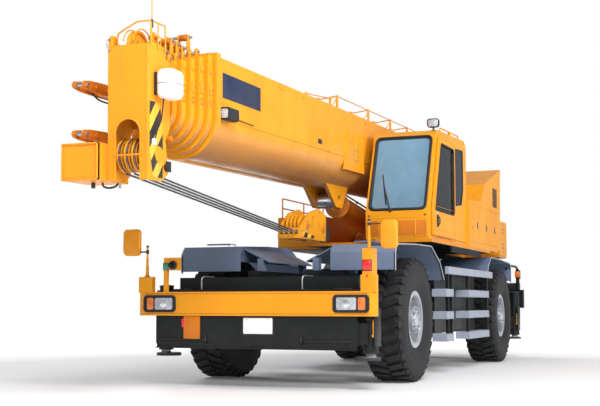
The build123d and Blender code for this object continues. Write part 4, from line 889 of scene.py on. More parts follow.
# Front end
def make_lamps():
    """Head lamps in the bumper, tail lamps at the rear."""
    lamps = Piece("lamp_units", "carrier", "lamp", ("lamps",))
    for side in (-1, 1):
        middle = (side * 1.2, 0.975)
        front = -3.1753
        outer, inner = rounded_rect(middle, 0.43, 0.2, 0.045), rounded_rect(middle, 0.376, 0.15, 0.03)
        lamps.prism(outer, 1, front - 0.006, front, black_plastic, 0.002)
        crown = rounded_rect(middle, 0.414, 0.184, 0.04)
        bezel = ((outer, 0.004), (outer, 0.012), (crown, 0.016), (inner, 0.014), (inner, 0.005))
        lamps.skin([[(x, front - depth, z) for x, z in points] for points, depth in bezel], rubber)
        head = (side * 1.145, 0.975)
        turn = (side * 1.325, 0.975)
        lamps.prism(rounded_rect(head, 0.235, 0.14, 0.02), 1, front - 0.0125, front - 0.004, clear_lens,
                    0.004)
        lamps.prism(rounded_rect(turn, 0.085, 0.14, 0.018), 1, front - 0.0115, front - 0.004, orange_lens,
                    0.003)
        lamps.lathe([(0.0005, -0.003), (0.035, -0.002), (0.056, 0.001), (0.06, 0.004)],
                    (head[0], front - 0.012, head[1]), (0, 1, 0), chrome, 32)
        tail_x = side * 1.15
        lamps.block((tail_x - 0.19, 6.155, 1.2403), (tail_x + 0.19, 6.255, 1.37), black_plastic, 0.012)
        for index, tint in enumerate((red_lens, orange_lens, clear_lens)):
            x = tail_x + side * (0.115 - 0.115 * index)
            lamps.block((x - 0.052, 6.25, 1.262), (x + 0.052, 6.2595, 1.348), tint, 0.004)
    lamps.done()


def make_mirrors():
    """Two mirrors on tapered masts, their glass towards the cab."""
    mirrors = Piece("mirror_heads", "carrier", "mirror_yellow", ("mirrors",))
    mast_y, outer_x, head_height = -3.127, 1.73, 0.325
    for side, foot, mast_top, low, width in ((-1, 1.2953, 1.65, 1.55, 0.235),
                                             (1, 1.5903, 1.89, 1.58, 0.195)):
        mast_x = side * 1.4
        mirrors.rod((mast_x, mast_y, foot), (mast_x, mast_y, foot + 0.012), 0.034, burnt_amber, 20, 0.002)
        taper_top = min(foot + 0.22, mast_top)
        mirrors.rod((mast_x, mast_y, foot + 0.01), (mast_x, mast_y, taper_top), 0.0215, amber, 20,
                    end_radius=0.014)
        mirrors.rod((mast_x, mast_y, taper_top - 0.01), (mast_x, mast_y, mast_top), 0.0125, amber, 16)
        mirrors.lathe([(0.001, 0), (0.014, 0.004), (0.018, 0.014), (0.014, 0.026), (0.001, 0.03)],
                      (mast_x, mast_y, mast_top - 0.004), (0, 0, 1), black_plastic, 20)
        middle = (side * (outer_x - width / 2), low + head_height / 2)
        shell = [(0.9, 0.86, -0.028), (0.97, 0.95, -0.018), (1.0, 1.0, 0.0), (1.0, 1.0, 0.016),
                 (0.96, 0.97, 0.022)]
        rings = []
        for wide, tall, depth in shell:
            outline = rounded_rect(middle, width * wide, head_height * tall, 0.05)
            rings.append([(x, mast_y + depth, z) for x, z in outline])
        mirrors.skin(rings, pale_amber, None, (0, -1))
        rim = [(x, mast_y + 0.02, z)
               for x, z in rounded_rect(middle, width * 0.92, head_height * 0.93, 0.045)]
        mirrors.ring(rim, 0.006, rubber, 8)
        mirrors.prism(rounded_rect(middle, width * 0.9, 0.295, 0.035), 1, mast_y + 0.02, mast_y + 0.0265,
                      mirror_face, 0.001)
        arm_z = low + 0.045
        inner_x = side * (outer_x - width + 0.02)
        arm = [(mast_x, mast_y, arm_z), (inner_x - side * 0.02, mast_y, arm_z),
               (inner_x, mast_y - 0.004, arm_z)]
        mirrors.tube(arm, 0.01, 0.009, black_steel, 12)
        mirrors.rod((mast_x, mast_y, arm_z - 0.022), (mast_x, mast_y, arm_z + 0.022), 0.019, black_plastic,
                    18, 0.003)
        upper = low + 0.28
        if upper < mast_top:
            mirrors.pipe([(mast_x, mast_y, upper), (inner_x, mast_y - 0.004, upper)], 0.007, black_steel, 10)
            mirrors.rod((mast_x, mast_y, upper - 0.018), (mast_x, mast_y, upper + 0.018), 0.018,
                        black_plastic, 18, 0.003)
    mirrors.done()


def make_front_trim():
    """The bumper's small lamps, plate, bracket and deck rods."""
    trim = Piece("front_trim", "carrier", "body_yellow")
    front, apron = -3.175, -3.1425
    trim.block((-1.168, front + 0.006, 1.375), (-1.1, front + 0.016, 1.455), green_lens, 0.004)
    trim.block((-1.172, front + 0.012, 1.37), (-1.096, front + 0.02, 1.46), black_plastic, 0.003)
    trim.lathe([(0.001, -0.022), (0.04, -0.02), (0.052, -0.012), (0.054, 0.0), (0.05, 0.012)],
               (-1.035, front + 0.008, 1.43), (0, 1, 0), black_plastic, 28)
    trim.lathe([(0.001, -0.026), (0.03, -0.024), (0.038, -0.018), (0.038, -0.01)],
               (-1.035, front + 0.008, 1.43), (0, 1, 0), dark_glass, 24)
    trim.block((1.335, front - 0.006, 1.345), (1.436, front + 0.011, 1.452), red_lens, 0.005)
    trim.block((1.328, front + 0.002, 1.337), (1.443, front + 0.0105, 1.46), black_plastic, 0.002)
    trim.lathe([(0.001, -0.008), (0.014, -0.006), (0.017, 0.0), (0.017, 0.006)],
               (1.385, front + 0.008, 1.28), (0, 1, 0), red_lens, 20)
    plate = rounded_rect((0.056, 0.721), 0.364, 0.182, 0.012)
    plate_y = -3.143
    trim.prism(plate, 1, plate_y, plate_y + 0.006, white_sheet, 0.0015)
    for x in (-0.08, 0.19):
        trim.lathe([(0.001, -0.003), (0.006, -0.002), (0.007, 0.001)], (x, plate_y, 0.79), (0, 1, 0), steel,
                   12)
    trim.prism(rounded_rect((0.056, 0.721), 0.4, 0.21, 0.012), 1, plate_y + 0.005, plate_y + 0.014,
               black_plastic, 0.002)
    trim.prism([(-0.889, 0.563), (-0.679, 0.563), (-0.679, 0.834), (-0.889, 0.834)], 1, -3.162, -3.136,
               burnt_amber, 0.004)
    trim.block((-0.91, -3.168, 0.70), (-0.875, -3.13, 0.80), red_lens, 0.004)
    for x, top in ((-0.85, 1.29), (0.46, 1.29)):
        rod = [(x, -2.772, 1.137), (x, -2.772, top - 0.01), (x + 0.01, -2.73, top + 0.012),
               (x + 0.01, -2.45, top + 0.012)]
        trim.tube(rod, 0.03, 0.009, steel, 10)
        trim.block((x - 0.03, -2.79, 1.1355), (x + 0.03, -2.75, 1.148), black_steel, 0.003)
    for side in (-1, 1):
        trim.block((side * 1.02 - 0.09, -3.0, 1.1353), (side * 1.02 + 0.09, -2.86, 1.152), black_steel,
                   0.003)
        hook = [(side * 0.6, apron, 0.6), (side * 0.6, -3.166, 0.59), (side * 0.6, -3.166, 0.53),
                (side * 0.6, apron, 0.52)]
        trim.tube(hook, 0.012, 0.009, black_steel, 8)
    for start, end, z in ((-1.2, -0.55, 0.56), (0.62, 1.21, 0.555)):
        bar = [(start, apron, z), (start, -3.162, z), (end, -3.162, z), (end, apron, z)]
        trim.tube(bar, 0.012, 0.007, black_steel, 8)
    for index in range(5):
        x = -1.1 + index * 0.55
        trim.studs(black_steel, 4, 0.03, 0.008, 0.008, (x, apron, 0.5), (0, -1, 0))
    # Darker orange lines along the bumper's crease and at z 0.86: painted shade.
    crease = 1.088
    trim.block((-1.40, front - 0.003, crease), (1.40, front + 0.003, crease + 0.008), burnt_amber, 0.001)
    trim.block((-1.40, front - 0.003, 0.856), (1.40, front + 0.003, 0.864), burnt_amber, 0.001)
    trim.done()


# Cab
def pane_seal(piece, corners, radius, finish=None, corner=0.05, turn=None):
    """A rubber seal round a window."""
    points = [Vector(corner_point) for corner_point in corners]
    middle = (points[0] + points[1]) / 2
    route = [middle, *points[1:], points[0], middle]
    piece.tube(route, corner, radius, finish or rubber, 8, turn)


def make_cab_trim():
    """Seals, wiper, front panel, roof rail, gutter and seams of the cab."""
    trim = Piece("cab_trim", "upper", "glass")
    base, top = Vector((0, -0.43, 2.215)), Vector((0, -0.01, 3.33))
    slope = (top - base).normalized()
    out = Vector((0, -slope.z, slope.y))
    middle_x, half_x, half_up = 0.914, 0.389, 0.5506
    centre = (base + top) / 2 + Vector((middle_x, 0, 0))
    for lift, radius, grow in ((0.004, 0.017, 0.008), (-0.008, 0.012, -0.008)):
        start = centre + out * lift
        corners = [start + Vector((x * (half_x + grow), 0, 0)) + slope * (up * (half_up + grow))
                   for x, up in ((-1, -1), (-1, 1), (1, 1), (1, -1))]
        pane_seal(trim, corners, radius, corner=0.075)
    foot = centre + out * 0.02 + Vector((-0.09, 0, 0)) - slope * (half_up + 0.02)
    tip = centre + out * 0.012 + Vector((-0.21, 0, 0)) - slope * 0.22
    trim.lathe([(0.001, 0.03), (0.02, 0.028), (0.026, 0.018), (0.026, 0.0)], foot - out * 0.012, out,
               black_plastic, 20)
    trim.tube([foot, foot.lerp(tip, 0.5) + out * 0.02, tip], 0.1, 0.009, black_plastic, 8)
    blade_low = tip - slope * 0.26 + Vector((0.05, 0, 0))
    blade_high = tip + slope * 0.2 - Vector((0.04, 0, 0))
    trim.pipe([blade_low, blade_high], 0.0085, rubber, 6)
    panel_y = -0.4208
    low_x, high_x, low_z, high_z = 0.5, 1.33, 1.88, 2.14
    trim.prism([(low_x, low_z), (high_x, low_z), (high_x, high_z), (low_x, high_z)], 1, panel_y - 0.006,
               panel_y + 0.004, burnt_amber, 0.003)
    frame_path = [(low_x, panel_y - 0.004, low_z), (high_x, panel_y - 0.004, low_z),
                  (high_x, panel_y - 0.006, high_z), (low_x, panel_y - 0.006, high_z)]
    pane_seal(trim, frame_path, 0.006, amber, 0.02)
    for x in (0.66, 1.17):
        trim.block((x - 0.006, panel_y - 0.0085, 1.89), (x + 0.006, panel_y - 0.004, 2.13), amber, 0.001)
    back = [(0.914 + x * 0.33, 1.803, 2.9 + z * 0.316) for x, z in ((-1, -1), (-1, 1), (1, 1), (1, -1))]
    pane_seal(trim, back, 0.013, corner=0.06)
    inner = [(0.466, 0.65 + y * 0.63, 2.85 + z * 0.356) for y, z in ((-1, -1), (-1, 1), (1, 1), (1, -1))]
    pane_seal(trim, inner, 0.013, corner=0.06)
    rear = [(1.06, 2.4), (1.06, 3.26), (1.61, 3.29), (1.61, 2.7), (1.5, 2.45)]
    pane_seal(trim, [(1.35, y, z) for y, z in rear], 0.008, corner=0.05)
    trim.prism(rear, 0, 1.338, 1.3465, dark_glass, 0.0)
    rail = [(1.31, 0.42, 3.405), (1.31, 0.42, 3.47), (1.31, 1.5, 3.50), (1.31, 1.5, 3.43)]
    trim.tube(rail, 0.04, 0.011, amber, 10)
    trim.block((1.29, 0.95, 3.41), (1.33, 0.98, 3.485), amber, 0.003)
    gutter = [(1.352, 0.0, 3.335), (1.352, 0.09, 3.385), (1.352, 1.66, 3.44), (1.352, 1.79, 3.36)]
    trim.tube(gutter, 0.04, 0.011, amber, 8)
    trim.block((1.354, 1.05, 1.93), (1.3581, 1.058, 2.38), rubber, 0.001)
    trim.block((1.354, 1.0, 1.895), (1.3581, 1.76, 1.903), rubber, 0.001)
    for x in (0.52, 1.31):
        trim.lathe([(0.001, 0.012), (0.012, 0.01), (0.014, 0.0)], (x, -0.424, 2.17), (0, -1, 0),
                   black_plastic, 16)
    trim.done()


def make_door_trim():
    """Seals, handle, lock and seams of the sliding door."""
    trim = Piece("door_trim", "door", "glass")
    face_x = cover_face
    window = [(-0.22, 2.25), (0.12, 3.2), (0.83, 3.2), (0.83, 2.25)]
    pane_seal(trim, [(face_x + 0.001, y, z) for y, z in window], 0.013, corner=0.05)
    pane_seal(trim, [(face_x - 0.03, y, z) for y, z in window], 0.01, corner=0.05)
    edge = [(-0.3, 1.91), (-0.3, 2.235), (0.08, 3.28), (0.92, 3.28), (0.92, 1.91)]
    pane_seal(trim, [(face_x - 0.002, y, z) for y, z in edge], 0.005, burnt_amber, 0.03)
    trim.block((face_x - 0.002, -0.16, 2.02), (face_x + 0.003, -0.04, 2.19), black_plastic, 0.002)
    grip = [(face_x, -0.1, 2.05), (face_x + 0.03, -0.1, 2.06), (face_x + 0.03, -0.1, 2.15),
            (face_x, -0.1, 2.16)]
    trim.tube(grip, 0.012, 0.008, black_plastic, 10)
    trim.lathe([(0.001, 0.012), (0.014, 0.01), (0.017, 0.0)], (face_x, -0.1, 2.22), (1, 0, 0), steel, 20)
    for z in (1.98, 2.3):
        trim.block((face_x - 0.001, -0.28, z), (face_x + 0.002, 0.9, z + 0.006), burnt_amber, 0.001)
    trim.done()


def cushion(name, low, high, crown, channels, axis):
    """A padded seat piece: crowned, pulled in between its corners, with sewn channels."""
    form = bmesh.new()
    bmesh.ops.create_cube(form, size=2)
    bmesh.ops.subdivide_edges(form, edges=form.edges, cuts=15, use_grid_fill=True)
    centre = [(low[i] + high[i]) / 2 for i in range(3)]
    half = [(high[i] - low[i]) / 2 for i in range(3)]
    flat = [number for number in range(3) if number != axis]
    for vert in form.verts:
        place = vert.co.copy()
        first, second, thick = place[flat[0]], place[flat[1]], place[axis]
        round_off = (1 - 0.12 * first ** 6) * (1 - 0.12 * second ** 6)
        waist = 1 - 0.035 * (1 - first * first) - 0.035 * (1 - second * second)
        puff = (1 - first ** 4) * (1 - second ** 4)
        groove = 0.0
        for channel in channels:
            groove += 0.13 * math.exp(-((second - channel) / 0.05) ** 2)
        swell = (0.78 + crown * puff) * round_off - groove * puff
        moved = [0.0, 0.0, 0.0]
        side_pull = 1 - 0.05 * thick * thick
        moved[flat[0]] = first * half[flat[0]] * waist * side_pull
        moved[flat[1]] = second * half[flat[1]] * waist * side_pull
        moved[axis] = thick * half[axis] * swell
        vert.co = [centre[i] + moved[i] for i in range(3)]
    piece = Piece(name, "upper", "seat")
    piece.take(form, seat_cloth)
    seam_depth = centre[axis]
    seam = []
    for first, second in ((-0.93, -0.93), (0.93, -0.93), (0.93, 0.93), (-0.93, 0.93)):
        point = [0.0, 0.0, 0.0]
        point[axis] = seam_depth
        point[flat[0]] = centre[flat[0]] + first * half[flat[0]]
        point[flat[1]] = centre[flat[1]] + second * half[flat[1]]
        seam.append(point)
    pane_seal(piece, seam, 0.005, black_plastic, 0.05)
    thing = piece.done(60)
    rounding = thing.modifiers.new("round", "SUBSURF")
    rounding.levels = 1
    rounding.render_levels = 1
    return thing


def make_seat():
    """The driver's seat on its bellows, the consoles, the dashboard and the steering wheel."""
    inside = Piece("cab_inside", "upper", "seat", ("cab_seat",))
    middle, seat_y, floor = 0.914, 1.0, 1.8906
    inside.block((middle - 0.17, seat_y - 0.19, floor), (middle + 0.17, seat_y + 0.19, floor + 0.05),
                 black_steel, 0.01)
    for index in range(5):
        inside.lathe([(0.13, 0.0), (0.155, 0.012), (0.13, 0.024)],
                     (middle, seat_y, floor + 0.05 + index * 0.026), (0, 0, 1), rubber, 28)
    inside.block((middle - 0.2, seat_y - 0.22, 2.15), (middle + 0.2, seat_y + 0.22, 2.19), black_plastic,
                 0.012)
    inside.rod((middle, seat_y, floor + 0.17), (middle, seat_y, 2.16), 0.07, black_plastic, 20)
    for x in (-0.11, 0.11):
        inside.rod((middle + x, seat_y + 0.24, 2.2), (middle + x, seat_y + 0.24, 2.36), 0.012, steel, 10)
    for x in (-0.06, 0.06):
        inside.rod((middle + x, seat_y + 0.245, 2.9), (middle + x, seat_y + 0.245, 3.0), 0.007, steel, 10)
    for side in (-1, 1):
        x = middle + side * 0.31
        inside.block((x - 0.055, seat_y - 0.4, floor), (x + 0.055, seat_y + 0.22, 2.42), black_plastic, 0.02)
        inside.block((x - 0.045, seat_y - 0.15, 2.42), (x + 0.045, seat_y + 0.2, 2.465), rubber, 0.015)
        for lever in (-0.02, 0.02):
            start = Vector((x + lever, seat_y - 0.3, 2.415))
            inside.rod(start, start + Vector((0, -0.02, 0.045)), 0.006, steel, 8)
            inside.lathe([(0.001, 0.0), (0.011, 0.004), (0.014, 0.016), (0.01, 0.028), (0.001, 0.032)],
                         start + Vector((0, -0.02, 0.04)), (0, -0.1, 1), black_plastic, 14)
    inside.block((middle - 0.32, -0.32, floor), (middle + 0.32, -0.13, 2.3), black_plastic, 0.03)
    inside.block((middle - 0.26, -0.2, 2.26), (middle + 0.26, -0.125, 2.35), black_plastic, 0.02)
    for x in (-0.15, -0.05, 0.05, 0.15):
        inside.lathe([(0.026, -0.004), (0.03, 0.004), (0.026, 0.006), (0.001, 0.004)],
                     (middle + x, -0.124, 2.31), (0, 1, 0.1), white_plastic, 20)
    column = [(middle, -0.14, 2.24), (middle, 0.0, 2.27), (middle, 0.045, 2.325)]
    inside.tube(column, 0.06, 0.022, black_plastic, 12)
    wheel_place = along_axis((middle, 0.05, 2.33), (0, 0.6, 0.8))
    ring = [(0.185 * math.cos(2 * math.pi * i / 40), 0.185 * math.sin(2 * math.pi * i / 40), 0)
            for i in range(41)]
    inside.pipe(ring, 0.014, rubber, 10, wheel_place)
    for angle in (90, 210, 330):
        tip = (0.18 * math.cos(math.radians(angle)), 0.18 * math.sin(math.radians(angle)), 0)
        inside.pipe([(0, 0, -0.01), tip], 0.009, black_plastic, 8, wheel_place)
    inside.lathe([(0.001, 0.012), (0.04, 0.008), (0.045, -0.01), (0.03, -0.02)], wheel_place.translation,
                 (0, 0.6, 0.8), black_plastic, 24)
    inside.done()
    cushion("seat_base_pad", (middle - 0.25, seat_y - 0.26, 2.19), (middle + 0.25, seat_y + 0.22, 2.31),
            0.22, (-0.35, 0.3), 2)
    cushion("seat_back_pad", (middle - 0.24, seat_y + 0.18, 2.32), (middle + 0.24, seat_y + 0.3, 2.93), 0.22,
            (-0.45, 0.0, 0.45), 1)
    cushion("seat_head_pad", (middle - 0.15, seat_y + 0.2, 2.96), (middle + 0.15, seat_y + 0.29, 3.15), 0.2,
            (), 1)


# Boom
def make_boom_trim():
    """What the base section carries: sign panel, guard arms, small plates, bands and lamp lens."""
    trim = Piece("boom_trim", "boom", "body_yellow", (), boom_matrix)
    side = 0.4
    sign = [(7.90, 0.205), (8.865, 0.215), (8.865, 0.475), (7.90, 0.465)]
    trim.prism(sign, 1, side, side + 0.004, blue_sheet, 0.001)
    trim.prism([(7.925, 0.228), (8.84, 0.238), (8.84, 0.452), (7.925, 0.442)], 1, side + 0.003,
               side + 0.0048, blue_sheet, 0.0005)
    trim.prism(rounded_rect((6.03, 0.09), 0.14, 0.06, 0.006), 1, side, side + 0.002, black_plastic, 0.0004)
    for u in (1.1, 1.89, 2.82, 3.9, 5.234):
        arm = [(u, 0.35, 0.795), (u + 0.02, 0.33, 0.72), (u + 0.16, 0.32, 0.635), (u + 0.2, 0.318, 0.6215)]
        trim.tube(arm, 0.05, 0.008, amber, 8)
        horn = [(u, 0.35, 0.792), (u, 0.3, 0.79), (u, 0.12, 0.765), (u, 0.06, 0.792)]
        trim.tube(horn, 0.04, 0.009, amber, 8)
        trim.block((u - 0.035, 0.315, 0.6195), (u + 0.035, 0.385, 0.628), amber, 0.002)
    for u in (2.0, 3.2, 6.9, 8.2):
        trim.block((u, -0.3, 0.6195), (u + 0.06, 0.3, 0.626), burnt_amber, 0.002)
    lamp_u, lamp_v = 8.93, 0.04
    lens_outline = [(0.4003 + 0.055 + a, lamp_v + b) for a, b in rounded_rect((0, 0), 0.086, 0.102, 0.018)]
    trim.prism(lens_outline, 0, lamp_u - 0.001, lamp_u + 0.006, clear_lens, 0.002)
    frame_outline = [(lamp_u + 0.002, y, z) for y, z in lens_outline]
    trim.ring(frame_outline, 0.006, rubber, 8)
    cable = [(8.71, 0.46, 0.1), (8.6, 0.42, 0.09), (8.5, 0.406, 0.03), (8.1, 0.406, 0.02)]
    trim.tube(cable, 0.05, 0.005, rubber, 8)
    lug_u, collar_u = 4.7, 9.005
    for edge in (-0.3, 0.0, 0.3):
        trim.block((lug_u + edge - 0.012, side + 0.0225, -0.16), (lug_u + edge + 0.012, side + 0.03, 0.3),
                   amber, 0.003)
    trim.studs(steel, 8, 0.09, 0.012, 0.012, (lug_u, side + 0.025, 0.05), (0, 1, 0))
    for y in (-0.3, -0.1, 0.1, 0.3):
        trim.rod((collar_u, y, 0.645), (collar_u, y, 0.66), 0.014, burnt_amber, 12, 0.002)
    trim.block((7.2, side, 0.55), (7.34, side + 0.012, 0.6), amber, 0.003)
    for u in (1.6, 4.2, 6.6):
        trim.lathe([(0.001, 0.008), (0.016, 0.007), (0.02, 0.0)], (u, side, 0.56), (0, 1, 0), burnt_amber,
                   16)
    trim.done()


def grooved(width, radius, groove):
    """Profile of a rope sheave, from one face to the other."""
    half = width / 2
    web = half * 0.45
    side = [(0.03, -half), (radius * 0.55, -half), (radius * 0.6, -web), (radius * 0.85, -web),
            (radius - groove, -half * 0.9), (radius, -half), (radius, -half * 0.8)]
    return side + [(radius - groove, 0.0)] + [(reach, -depth) for reach, depth in reversed(side)]


def make_sheaves():
    """The head's rope sheaves on their pins, with the falls' wraps over the lower ones."""
    sheaves = Piece("grooved_sheaves", "tip", "sheave_yellow", ("head_sheaves",), boom_matrix)
    low_u, low_v = lower_sheaves
    high_u, high_v = upper_sheave
    for y in rope_rows:
        sheaves.lathe(grooved(0.058, sheave_radius, 0.022), (low_u, y, low_v), (0, 1, 0), amber, 64)
    sheaves.rod((low_u, -0.1897, low_v), (low_u, 0.1897, low_v), 0.045, steel, 28)
    sheaves.lathe(grooved(0.06, 0.17, 0.024), (high_u, -0.02, high_v), (0, 1, 0), amber, 64)
    sheaves.rod((high_u, -0.0717, high_v), (high_u, 0.0317, high_v), 0.025, steel, 20)
    wrap_radius, first_angle, wrap_angle, steps = 0.151, -95, 195, 24
    for y in rope_rows:
        wrap = []
        for step in range(steps + 1):
            angle = math.radians(first_angle + wrap_angle * step / steps)
            wrap.append((low_u + wrap_radius * math.cos(angle), y, low_v + wrap_radius * math.sin(angle)))
        sheaves.pipe(wrap, 0.0095, rope_steel, 8)
    sheaves.done()


def make_head_trim():
    """The boom head's window frame, signal case, rail, guards, brackets and pins."""
    trim = Piece("head_trim", "tip", "body_yellow", (), boom_matrix)
    face, (pin_u, pin_v) = head_face, lower_sheaves
    arch = [(y, z - 0.72) for y, z in arched(0.27, 0.58, 0.135)]
    path = [(face + 0.001, y, z) for y, z in arch]
    trim.pipe(path, 0.009, amber, 8)
    corner_fill = [(-0.137, -0.139), (-0.137, -0.275)]
    for index in range(7):
        angle = math.pi - math.pi / 2 * index / 6
        corner_fill.append((0.137 * math.cos(angle), -0.275 + 0.1352 * math.sin(angle)))
    for sign in (1, -1):
        outline = [(y * sign, z) for y, z in corner_fill]
        trim.prism(outline, 0, face - 0.022, face - 0.0005, pale_amber, 0.0)
    trim.block((face - 0.012, -0.15, -0.49), (face + 0.014, 0.15, -0.475), amber, 0.003)
    for y in (-0.205, 0.2):
        trim.block((face, y - 0.004, -0.71), (face + 0.006, y + 0.009, 0.545), amber, 0.002)
    trim.studs(steel, 6, 0.045, 0.01, 0.01, (pin_u, head_cheek + 0.0007, pin_v), (0, 1, 0))
    trim.lathe([(0.075, 0.0), (0.075, 0.01), (0.06, 0.014), (0.001, 0.015)], (pin_u, head_cheek, pin_v),
               (0, 1, 0), amber, 32)
    trim.lathe([(0.062, 0.0), (0.062, 0.016), (0.05, 0.02), (0.034, 0.02), (0.034, 0.0)],
               (9.725, head_cheek, 0.25), (0, 1, 0), amber, 28, closed=True)
    trim.prism([(9.80, -0.69), (9.98, -0.69), (10.05, -0.45), (10.05, 0.02), (9.86, 0.02), (9.80, -0.2)], 1,
               head_cheek, 0.2185, warning, 0.001)
    case_low, case_high = (9.72, 0.232, 0.05), (9.985, 0.42, 0.335)
    trim.block(case_low, case_high, white_plastic, 0.06, steps=5)
    trim.block((9.735, head_cheek, 0.09), (9.97, 0.25, 0.3), black_steel, 0.004)
    for v in (0.075, 0.31):
        trim.block((9.76, head_cheek, v - 0.012), (9.945, 0.29, v + 0.012), amber, 0.003)
    band = [(9.852 + a, 0.326 + b, 0.192) for a, b in rounded_rect((0, 0), 0.269, 0.192, 0.06)]
    trim.ring(band, 0.004, steel, 6)
    cable = [(9.93, 0.3, 0.06), (9.94, 0.28, -0.16), (9.96, 0.25, -0.24), (9.97, 0.232, -0.33)]
    trim.tube(cable, 0.05, 0.006, rubber, 8)
    trim.lathe([(0.001, 0.02), (0.024, 0.018), (0.034, 0.008), (0.034, -0.004)], (9.98, 0.222, -0.36),
               (0, 1, 0), white_plastic, 26)
    ear = [(9.98, 0.5), (10.075, 0.51), (10.075, 0.62), (10.05, 0.665), (10.0, 0.665), (9.97, 0.62)]
    trim.prism(ear, 1, -0.213, -0.175, amber, 0.004)
    ring = [(10.075 + 0.055 * math.cos(a), -0.194, 0.57 + 0.055 * math.sin(a))
            for a in [math.pi * 2 * i / 28 for i in range(29)]]
    trim.pipe(ring, 0.009, steel, 8)
    rail_v = 0.79
    rail = [(10.0, -0.16, 0.55), (10.0, -0.16, rail_v - 0.1), (10.0, 0.05, rail_v), (10.0, 0.2, rail_v),
            (10.0, 0.2, 0.545)]
    trim.tube(rail, 0.03, 0.009, amber, 8)
    trim.tube([(9.72, 0.2, 0.54), (9.72, 0.2, rail_v), (10.0, 0.2, rail_v)], 0.02, 0.008, amber, 8)
    trim.tube([(9.86, 0.2, 0.54), (9.86, 0.2, rail_v)], 0.02, 0.007, amber, 8)
    trim.pipe([(9.72, 0.2, 0.66), (10.0, 0.2, 0.66)], 0.007, amber, 8)
    trim.pipe([(9.99, 0.205, 0.66), (9.99, 0.205, 0.985)], 0.0055, amber, 6)
    trim.rod((9.99, 0.205, 0.72), (9.99, 0.205, 0.8), 0.012, black_plastic, 12, 0.002)
    for y, tall in ((-0.12, 0.7), (0.1, 0.73)):
        trim.prism([(9.7, 0.46), (9.86, 0.46), (9.84, tall - 0.06), (9.79, tall), (9.74, tall - 0.03)], 1, y,
                   y + 0.022, amber, 0.004)
        trim.rod((9.785, y - 0.04, tall - 0.055), (9.785, y + 0.062, tall - 0.055), 0.022, burnt_amber, 18,
                 0.003)
    guard_radius = 0.185
    guard = [(upper_sheave[0] + guard_radius * math.cos(a), upper_sheave[1] + guard_radius * math.sin(a))
             for a in [math.radians(15 + 150 * i / 12) for i in range(13)]]
    for y in (-0.075, 0.035):
        trim.pipe([(u, y, v) for u, v in guard], 0.007, amber, 6)
    trim.block((9.68, -0.2, 0.452), (9.97, 0.2, 0.468), amber, 0.002)
    for y in (-0.19, 0.17):
        trim.prism([(9.67, 0.43), (9.99, 0.52), (9.97, 0.6), (9.72, 0.58)], 1, y, y + 0.02, amber, 0.003)
    low, high = (9.7, -0.604, -0.72), (10.25, -0.214, -0.37)
    flange = 0.018
    for z in (low[2], high[2] - 0.014):
        trim.block((high[0] - 0.03, low[1] + 0.001, z), (high[0] + flange, high[1], z + 0.014), pale_amber,
                   0.002)
    for y in (low[1], high[1] - 0.014):
        trim.block((high[0] - 0.03, y, low[2]), (high[0] + flange, y + 0.014, high[2]), pale_amber, 0.002)
    trim.block((9.72, low[1] + 0.02, high[2] - 0.002), (9.98, high[1] - 0.03, high[2] + 0.01), amber, 0.003)
    hanger = [(9.95, -0.35, -0.72), (9.95, -0.34, -0.76), (9.9, -0.3, -0.772), (9.85, -0.26, -0.75),
              (9.84, -0.24, -0.72)]
    trim.tube(hanger, 0.03, 0.01, black_steel, 8)
    trim.rod((10.0, -0.42, -0.72), (10.0, -0.42, -0.775), 0.02, black_plastic, 14, 0.004)
    trim.rod((9.88, -0.2, -0.72), (9.88, -0.2, -0.775), 0.012, steel, 12)
    trim.block((9.66, head_cheek, -0.62), (9.74, 0.235, -0.52), black_steel, 0.004)
    trim.rod((9.7, head_cheek, -0.30), (9.7, 0.262, -0.30), 0.026, burnt_amber, 18, 0.003)
    trim.rod((9.75, head_cheek, -0.58), (9.75, 0.252, -0.58), 0.03, black_steel, 18, 0.003)
    trim.done()


